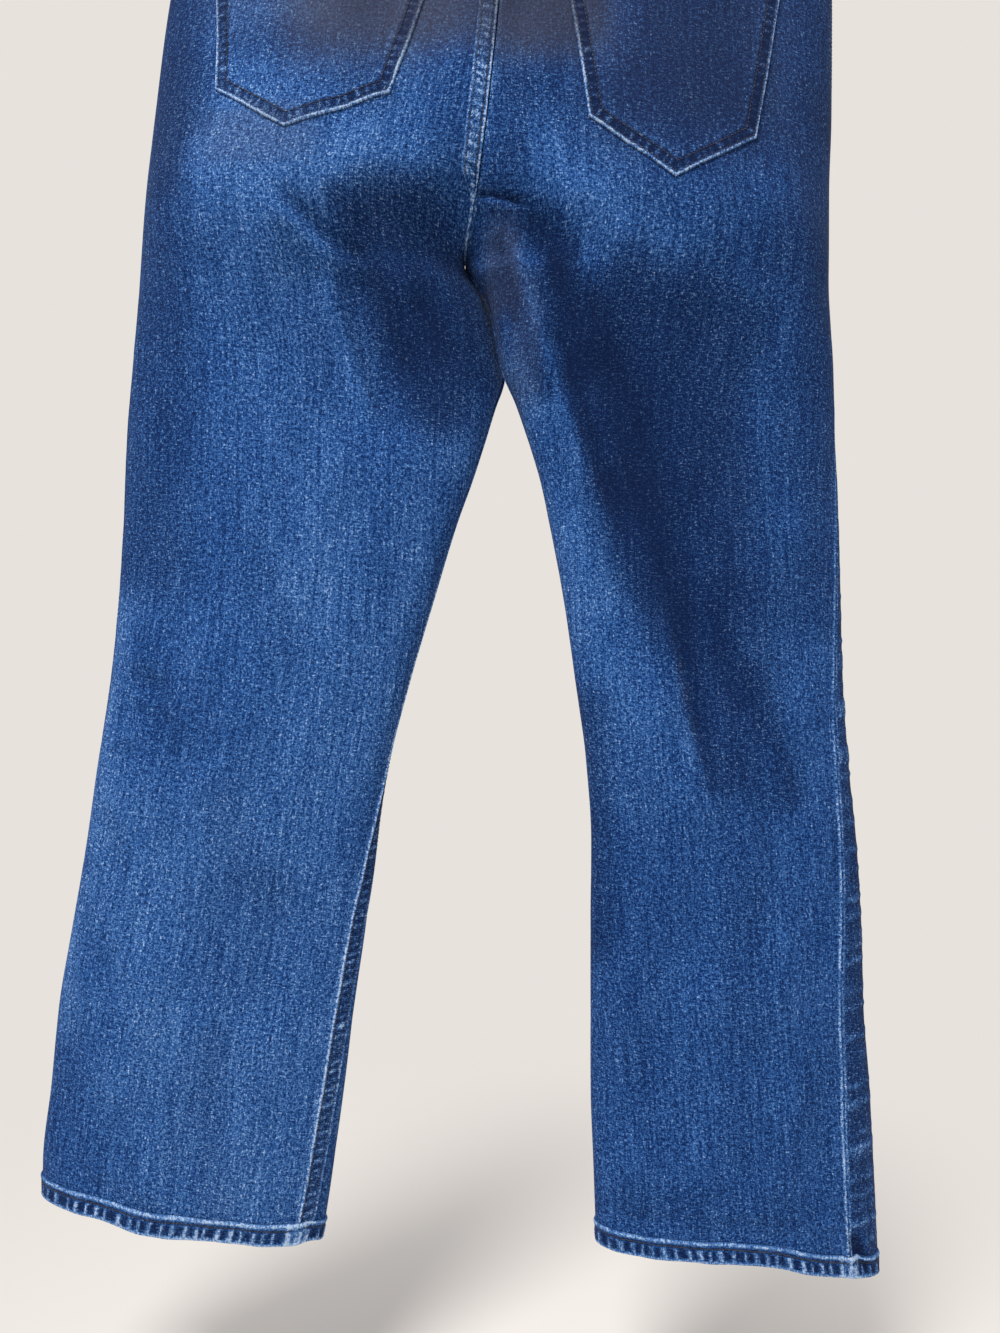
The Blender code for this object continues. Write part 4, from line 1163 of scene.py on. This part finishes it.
def back_pocket(half):
    corners = pocket_corners(half.side)
    down = with_edges(100, 150)[:, None]
    across = np.sort(np.append(with_edges(100, 150), POCKET_TIP_ACROSS))
    inner = corners[0][0] + (corners[1][0] - corners[0][0]) * down
    outer = corners[4][0] + (corners[3][0] - corners[4][0]) * down
    top = corners[0][1] + (corners[4][1] - corners[0][1]) * across
    to_inner = corners[1][1] + (corners[2][1] - corners[1][1]) * across / POCKET_TIP_ACROSS
    to_outer = corners[2][1] + (corners[3][1] - corners[2][1]) * (
        (across - POCKET_TIP_ACROSS) / (1 - POCKET_TIP_ACROSS))
    foot = np.where(across <= POCKET_TIP_ACROSS, to_inner, to_outer)
    level = top + (foot - top) * down
    arc = inner + (outer - inner) * across
    d, s = edge_distance(arc, level, corners)
    top_d = top - level
    seed, band_shade = POCKET_BANDS[half.side]
    height = pocket_height(d, s, top_d, seed)
    sewn_band = band(d, 2.6, 9.4)
    crest = puckers(s, seed)
    uneven = 0.8 + 0.2 * wander(s, seed, 57.0)
    wear = 1.3 * ridge(d - 0.8, 1.05) * uneven + 0.7 * sewn_band * crest + 0.4 * crest * ridge(d - 11.4, 1.9)
    wear = wear + 0.7 * ridge(top_d - 0.8, 1.2)
    # rows_drawn_in puts painted shade in the grooves of the two rows of stitches; the sewn band is dark
    # between its puckers, as worn denim is
    rows_drawn_in = ridge(d - ROW_FROM_EDGE, 0.8) + ridge(d - ROW_FROM_EDGE - ROWS_APART, 0.8)
    shade = band_shade * sewn_band * (1 - crest) ** 0.7 + 0.8 * rows_drawn_in
    laid("back_pocket_" + half.word + "_cloth", half, level, arc, height, PATCH_LIFT * 0.4, wear, shade)
    lines = [(inset(corners, ROW_FROM_EDGE), -0.1), (inset(corners, ROW_FROM_EDGE + ROWS_APART), -0.05)]
    lines += [(np.array([corners[0] + (2.5, -from_top), corners[4] - (2.5, from_top)]), 0.4)
              for from_top in (2.6, 11.6)]
    rows = []
    for line, lift in lines:
        row_arc, row_level = line_between(line)
        rows.append(row_on(half, row_level, row_arc, PATCH_LIFT * 0.7 + PATCH_WALL + lift))
    return rows


def waistband():
    """The doubled strip round the waist, with a rolled edge above and below its rows of stitches."""
    down = (with_edges(22, WAISTBAND_HEIGHT) * WAISTBAND_HEIGHT)[:, None]
    share = np.linspace(0, 1, int(HALVES[RIGHT].whole_length(0.0) / WAISTBAND_STEP))
    grids = {"outside": [], "inside": [], "arc": [], "level": [], "end": []}
    for side in (RIGHT, LEFT):
        half = HALVES[side]
        level = -down + np.zeros(len(share))
        arc = share * (half.whole_length(level) - GAP / 2)
        place = half.at(level, arc)
        normal = half.outward(level, arc)
        edge = np.minimum(down, WAISTBAND_HEIGHT - down)
        crest = puckers(arc, 12 + side)
        height = WAISTBAND_OUTSIDE * rounded(edge, 1.3) + 0.3 * ridge(edge - 1.4, 1.0)
        height = height - 0.3 * ridge(edge - WAISTBAND_ROW_IN, 0.7) + 0.2 * crest * ridge(edge - 5.5, 2.0)
        piece = {"outside": place + normal * height[..., None], "inside": place + normal * WAISTBAND_INSIDE,
                 "arc": arc * side, "level": level, "end": half.whole_length(level) - arc}
        for key, value in piece.items():
            grids[key].append(value[:, ::-1] if side == RIGHT else value[:, 1:])
    joined = {key: np.concatenate(value, axis=1) for key, value in grids.items()}
    edge = np.minimum(-joined["level"], WAISTBAND_HEIGHT + joined["level"])
    crest = puckers(joined["arc"], 12)
    wear = 0.75 * ridge(edge - 0.9, 1.2) + 0.35 * crest * ridge(edge - 5.5, 2.2)
    wear = wear + 0.8 * ridge(joined["end"], 1.5)
    # Painted shade in the grooves of the rows of stitches
    shade = 0.25 * ridge(edge - 3.4, 1.0)
    made = shell("waistband_cloth", joined["outside"], joined["inside"], DENIM,
                 (joined["level"], joined["arc"]), wear, shade)
    declare(joined["arc"], joined["level"])
    rows = []
    for side, half in HALVES.items():
        for from_edge in (WAISTBAND_ROW_IN, WAISTBAND_HEIGHT - WAISTBAND_ROW_IN):
            arcs = np.arange(0.5, half.whole_length(-from_edge) - 3.0, 1.0)
            rows.append(row_on(half, -from_edge, arcs, WAISTBAND_OUTSIDE - 0.05))
        levels = np.linspace(-WAISTBAND_ROW_IN, WAISTBAND_ROW_IN - WAISTBAND_HEIGHT, 32)
        arcs = half.whole_length(levels) - WAISTBAND_ROW_IN
        rows.append(row_on(half, levels, arcs, WAISTBAND_OUTSIDE - 0.05))
    return rows


def around_waist(share, offset, level):
    """Place and outward direction at a share of the way to the front's middle, negative on the left."""
    place = np.zeros(level.shape + (3,))
    normal = np.zeros(level.shape + (3,))
    for side, half in HALVES.items():
        arc = (share * half.whole_length(level) + offset) * side
        mine = arc >= 0
        place[mine] = half.at(level[mine], arc[mine])
        normal[mine] = half.outward(level[mine], arc[mine] + 1.5)
    return place, normal


def belt_loop(number, share):
    """A narrow folded strip that bows off the waistband, sewn down at both ends."""
    across = with_edges(9, LOOP_WIDTH) * LOOP_WIDTH - LOOP_WIDTH / 2
    levels = even_levels(LOOP_ROWS[0].level, LOOP_ROWS[-1].level, 1.2)
    level = levels[:, None] + np.zeros(len(across))
    loop_off = smooth_column(LOOP_ROWS, "level", "off")
    off = loop_off(level)
    place, normal = around_waist(share, across + np.zeros(level.shape), level)
    edge = LOOP_WIDTH / 2 - np.abs(across)
    height = off + PATCH_WALL * (0.85 + 0.15 * rounded(edge, 1.0)) - 0.22 * ridge(edge - 2.6, 0.6)
    ends = np.minimum(levels[0] - level, level - levels[-1])
    wear = 0.85 * ridge(edge - 0.6, 1.0) + 0.5 * ridge(ends, 1.6)
    # The shade here is painted shade in the grooves of the loop's rows of stitches
    made = shell("belt_loop_" + str(number) + "_cloth", place + normal * height[..., None],
                 place + normal * off[..., None], DENIM, (across + 60 * number, level), wear,
                 0.3 * ridge(edge - 2.8, 0.8))
    declare(across + np.zeros(level.shape), level)

    def line_on_loop(span, line_level, lift):
        line_place, line_normal = around_waist(share, span, line_level)
        return line_place + line_normal * (loop_off(line_level) + PATCH_WALL + lift)[:, None], line_normal

    rows = [line_on_loop(np.full(len(levels), side * (LOOP_WIDTH / 2 - 2.6)), levels, -0.05)
            for side in (-1, 1)]
    span = np.linspace(1.2 - LOOP_WIDTH / 2, LOOP_WIDTH / 2 - 1.2, 12)
    tacks = [line_on_loop(span, np.full(len(span), tack_level + shift), 0.1)
             for tack_level in (levels[0] - 3.0, levels[-1] + 3.5) for shift in np.linspace(-1.1, 1.1, 5)]
    return rows, tacks


def fly_width(level, inset_by=0.0):
    """Width of the fly's strip at a level, or of the line that far inside its edge."""
    down = (FLY_TOP - level) / (FLY_LENGTH - inset_by)
    bend = np.clip((down - FLY_ROUND_FROM) / (1 - FLY_ROUND_FROM), 0, 1)
    return np.maximum((FLY_WIDTH - inset_by) * np.sqrt(1 - bend ** 2), FLY_FOOT_WIDTH - inset_by)


def fly():
    half = HALVES[LEFT]
    across = with_edges(22, FLY_WIDTH)
    down = slowing(110)[:, None]
    level = FLY_TOP - FLY_LENGTH * down + np.zeros(len(across))
    width = fly_width(level)
    end = half.whole_length(level) - 2 * GAP
    arc = end - width * (1 - across)
    d = np.minimum(arc - (end - width), (level - FLY_TOP + FLY_LENGTH) * 0.6)
    height = PATCH_LIFT + 0.9 * rounded(d, 1.2) + 0.3 * ridge(end - arc - 0.8, 0.9)
    wear = 0.15 * ridge(d, 2.5) + 0.85 * ridge(end - arc - 0.6, 1.1)
    laid("fly_cloth", half, level, arc, height, PATCH_LIFT * 0.5, wear)
    rows = []
    for inset_by in (3.0, 9.0):
        top = -WAISTBAND_HEIGHT - 4.0
        foot = FLY_TOP - (FLY_LENGTH - inset_by)
        levels = top + (foot - top) * slowing(150)
        arcs = half.whole_length(levels) - 2 * GAP - fly_width(levels, inset_by)
        rows.append(row_on(half, levels, arcs, PATCH_LIFT + 0.95))
    return rows


def facing(half):
    share = np.linspace(0, 1, 34)
    down = slowing(40)[:, None]
    level = PANEL_TOP - POCKET_SCOOP_DEPTH + (POCKET_SCOOP_DEPTH - GAP) * (1 - down) + np.zeros(len(share))
    width = np.array([[scoop_width(d)] for d in down[:, 0]]) - GAP
    arc = half.seams(level)[1] + GAP / 2 + width * share
    laid("front_pocket_facing_" + half.word + "_cloth", half, level, arc, -FACING_INSET,
         -FACING_INSET - PATCH_WALL, 0.0, 0.45)
    rows = []
    for from_edge in (2.6, 8.6):
        t = np.linspace(0.03, math.pi / 2 - 0.02, 160)
        levels = PANEL_TOP - (POCKET_SCOOP_DEPTH + from_edge) * np.sin(t)
        arcs = half.seams(levels)[1] + (POCKET_SCOOP_WIDTH + from_edge) * np.cos(t)
        rows.append(row_on(half, levels, arcs, 0.05))
    return rows


def hem(half):
    """The turned-up hem: a pale rolled top ridge, a chain of stitches, and a ladder of roping below it."""
    v = (with_edges(14, HEM_HEIGHT) * HEM_HEIGHT)[:, None]
    girth = float(half.whole_length(HEM_LEVEL))
    count = int(girth / HEM_STEP)
    share = np.arange(count) / count
    level = HEM_LEVEL + v + np.zeros(count)
    arc = share * half.whole_length(level)
    s = share * girth
    seed = 21 if half.side == LEFT else 22
    turns = round(girth / HEM_PITCH)
    slant = s + 0.16 * (v - 6) + 2.0 * wander(s, seed, girth / 11) + 1.0 * wander(s, seed + 3, girth / 37)
    bars = (0.5 + 0.5 * np.cos(math.tau * slant * turns / girth)) ** 2.2
    bars = bars * (0.85 + 0.15 * np.sin(math.tau * 5 * s / girth + seed))
    ladder = band(v, 1.6, 9.2, 1.2, 1.0)
    bulk = np.zeros(count)
    seam_lines = np.zeros(count)
    for seam_at in half.seams(HEM_LEVEL + v[0, 0]):
        away = np.abs((s - float(seam_at) + girth / 2) % girth - girth / 2)
        bulk = bulk + np.exp(-(away / 7.5) ** 4)
        seam_lines = seam_lines + ridge(away - 6.2, 1.2) + 0.8 * ridge(away, 1.2)
    height = HEM_OUTSIDE * rounded(v, 1.3)
    height = height + 0.55 * ridge(HEM_HEIGHT - v - 1.7, 1.5) * rounded(HEM_HEIGHT - v, 1.0)
    height = height + ladder * (0.75 * bars - 0.25) - 0.4 * ridge(v - HEM_ROW_ABOVE, 0.8) + 0.45 * bulk
    height = height + 0.3 * wander(s, seed, 37.0)
    wear = 1.25 * ridge(HEM_HEIGHT - v - 1.5, 1.45) * (0.75 + 0.25 * wander(s, seed, 23.0))
    wear = wear + 1.25 * ladder * bars
    wear = wear + 0.95 * ridge(v - 0.6, 1.5) + 0.4 * bulk + 0.7 * seam_lines
    # Dark blocks between the ladder's pale bars, as worn hems are, and painted shade in the groove of the
    # row of stitches
    shade = 1.1 * ladder * (1 - bars) * (1 - 0.7 * bulk) + 0.6 * ridge(v - HEM_ROW_ABOVE, 1.0)
    made = laid("hem_" + half.word + "_cloth", half, level, arc, height, HEM_INSIDE, wear, shade, HEM_DENIM,
                closed=True, declared=False)
    around = np.linspace(0, girth, int(girth)) % girth
    levels = np.full(len(around), HEM_LEVEL + HEM_ROW_ABOVE)
    return [row_on(half, levels, around * half.whole_length(HEM_LEVEL + HEM_ROW_ABOVE) / girth,
                   HEM_OUTSIDE - 0.15)]


def button():
    """A plain domed metal button with a turned rim, and the sewn buttonhole that it comes out of."""
    half = HALVES[LEFT]
    level = -WAISTBAND_HEIGHT / 2
    arc = half.whole_length(level) - BUTTON_FROM_EDGE
    place = half.at(level, arc)
    normal = half.outward(level, arc)
    profile = ((0.0, 0.0), (0.8, 0.0), (0.93, 0.12), (1.0, 0.3), (1.0, 0.55), (0.96, 0.72), (0.88, 0.82),
               (0.8, 0.8), (0.76, 0.72), (0.72, 0.72), (0.66, 0.82), (0.5, 0.93), (0.25, 1.0), (0.0, 1.02))
    sides = 48
    turn = np.arange(sides) * math.tau / sides
    rings = profile[1:-1]
    points = [(out * BUTTON_RADIUS * math.cos(a), out * BUTTON_RADIUS * math.sin(a), up * BUTTON_THICKNESS)
              for out, up in rings for a in turn]
    points += [(0, 0, 0), (0, 0, profile[-1][1] * BUTTON_THICKNESS)]
    faces = tube_faces(len(rings), sides)
    first, last = len(points) - 2, len(points) - 1
    top = (len(rings) - 1) * sides
    faces += [[first, (i + 1) % sides, i] for i in range(sides)]
    faces += [[last, top + i, top + (i + 1) % sides] for i in range(sides)]
    made = new_object("button_cap", points, faces, BRASS)
    made.location = Vector((place + normal * (WAISTBAND_OUTSIDE + GAP + 0.3)) * MM)
    made.rotation_euler = Vector(normal).to_track_quat("Z", "Y").to_euler()
    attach(made, "root")
    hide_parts("button")
    arcs = np.linspace(arc - 11.5, arc + 9.0, 24)
    return [row_on(half, level + off_line, arcs, WAISTBAND_OUTSIDE + 0.1)
            for off_line in (-1.7, -0.7, 0.7, 1.7)]


def bar_tack(half, arc, level, along_arc, along_level, off):
    """A few close stitches side by side, centred on a place and lying along a direction."""
    length = math.hypot(along_arc, along_level)
    rows = []
    for shift in np.linspace(-0.9, 0.9, 4):
        t = np.linspace(-0.5, 0.5, 12)
        rows.append(row_on(half, level + along_level * t + shift * along_arc / length,
                           arc + along_arc * t - shift * along_level / length, off))
    return rows


def dress():
    """Lay the cloth on every solid, then sew all the rows of one kind in one piece."""
    sewn = {"seams": [], "waist": [], "pockets": [], "hems": [], "front": [], "tacks": []}
    for side, half in HALVES.items():
        for maker in (back_panel, front_panel, yoke):
            maker(half)
        sewn["pockets"] += back_pocket(half)
        sewn["hems"] += hem(half)
        sewn["front"] += facing(half)
        sewn["seams"] += inseam_lap(half)
        sewn["waist"] += yoke_lap(half)
        levels = even_levels(-WAISTBAND_HEIGHT - 3.0, OUTSEAM_STITCHED_TO, 1.0)
        sewn["seams"].append(row_on(half, levels, half.seams(levels)[1] - OUTSEAM_STITCH_IN, 0.05))
        for corner, inward in ((POCKETS[side].inner_top, 5.0), (POCKETS[side].outer_top, -4.5)):
            sewn["tacks"] += bar_tack(half, corner[0] + inward, corner[1] - 6.5, 0.6, -9.0,
                                      PATCH_LIFT + PATCH_WALL + 0.5)
        below = -WAISTBAND_HEIGHT - POCKET_SCOOP_DEPTH - 4.0
        sewn["tacks"] += bar_tack(half, half.seams(below)[1] + 6.0, below - 1.0, 9.0, 0.6, 0.25)
    sewn["seams"] += seat_lap()
    sewn["front"] += rise_lap() + fly()
    sewn["waist"] += waistband()
    sewn["tacks"] += button()
    for number, share in enumerate(LOOP_SHARES, 1):
        rows, tacks = belt_loop(number, share)
        sewn["waist"] += rows
        sewn["tacks"] += tacks
    for name in ("seams", "waist", "pockets", "front"):
        thread_stitches("stitches_" + name, sewn[name])
    thread_stitches("stitches_hems", sewn["hems"], pitch=1.9, length=2.6, sway=0.28)
    thread_stitches("stitches_tacks", sewn["tacks"], pitch=2.1, length=2.0, sway=0.1)


# Floor, light and camera
BACKGROUND = (0.8, 0.76, 0.72)


def floor():
    """A pale floor, which runs into the pale background far from the jeans."""
    make = Nodes("floor")
    place = make.add("ShaderNodeTexCoord").outputs["Object"]
    grain = make.noise(place, 3.0, 0.6, scale=9.0)
    pale = make.mix(make.math("MULTIPLY", grain, 0.2), (0.66, 0.63, 0.6, 1), (0.63, 0.6, 0.57, 1))
    material = make.surface(pale, grain, 0.05, 0.001, Roughness=0.9)
    away = make.add("ShaderNodeVectorMath", {0: place}, operation="LENGTH").outputs["Value"]
    glow = make.add("ShaderNodeEmission", {"Color": (*BACKGROUND, 1)})
    blend = make.add("ShaderNodeMixShader", {0: make.between(away, 0.05, 0.85)})
    make.tree.links.new(make.shader.outputs[0], blend.inputs[1])
    make.tree.links.new(glow.outputs[0], blend.inputs[2])
    make.tree.links.new(blend.outputs[0], make.tree.nodes["Material Output"].inputs["Surface"])

    sides = 64
    turn = np.arange(sides) * math.tau / sides
    corners = [(FLOOR_RADIUS * math.cos(a), FLOOR_RADIUS * math.sin(a), 0) for a in turn]
    made = new_object("floor", corners, [tuple(range(sides))], material)
    made.location.z = FLOOR_LEVEL * MM


def soft_light(name, place, aim, size, power, colour):
    data = bpy.data.lights.new(name, "AREA")
    data.shape = "DISK"
    data.size = size
    data.energy = power
    data.color = colour
    made = linked(name, data)
    made.location = place
    made.rotation_euler = (Vector(aim) - Vector(place)).to_track_quat("-Z", "Y").to_euler()


def studio():
    """A bright plain background that lights the jeans only a little, and large soft lamps."""
    world = bpy.data.worlds.new("studio")
    world.use_nodes = True
    tree = world.node_tree
    seen = tree.nodes["Background"]
    seen.inputs["Color"].default_value = (*BACKGROUND, 1)
    seen.inputs["Strength"].default_value = 1.0
    lighting = tree.nodes.new("ShaderNodeBackground")
    lighting.inputs["Color"].default_value = (0.93, 0.95, 1.0, 1)
    lighting.inputs["Strength"].default_value = 0.24
    path = tree.nodes.new("ShaderNodeLightPath")
    blend = tree.nodes.new("ShaderNodeMixShader")
    tree.links.new(path.outputs["Is Camera Ray"], blend.inputs[0])
    tree.links.new(lighting.outputs[0], blend.inputs[1])
    tree.links.new(seen.outputs[0], blend.inputs[2])
    tree.links.new(blend.outputs[0], tree.nodes["World Output"].inputs["Surface"])
    bpy.context.scene.world = world
    bpy.context.scene.view_settings.view_transform = "Standard"
    middle = (-0.04, 0.0, -0.5)
    soft_light("key", (-1.1, -2.25, 2.4), middle, 1.5, 190, (1.0, 0.985, 0.96))
    soft_light("fill", (1.9, -2.2, -0.2), middle, 1.5, 14, (1.0, 0.88, 0.76))
    soft_light("front_side", (1.0, 2.9, 1.6), middle, 3.2, 110, (1.0, 0.97, 0.93))


def camera():
    data = bpy.data.cameras.new("camera")
    data.lens = CAMERA_LENS
    data.sensor_width = CAMERA_SENSOR
    made = linked("camera", data)
    made.location = Vector(CAMERA_PLACE) * MM
    made.rotation_euler = (math.pi / 2, 0, 0)
    bpy.context.scene.camera = made


dress()
floor()
studio()
camera()
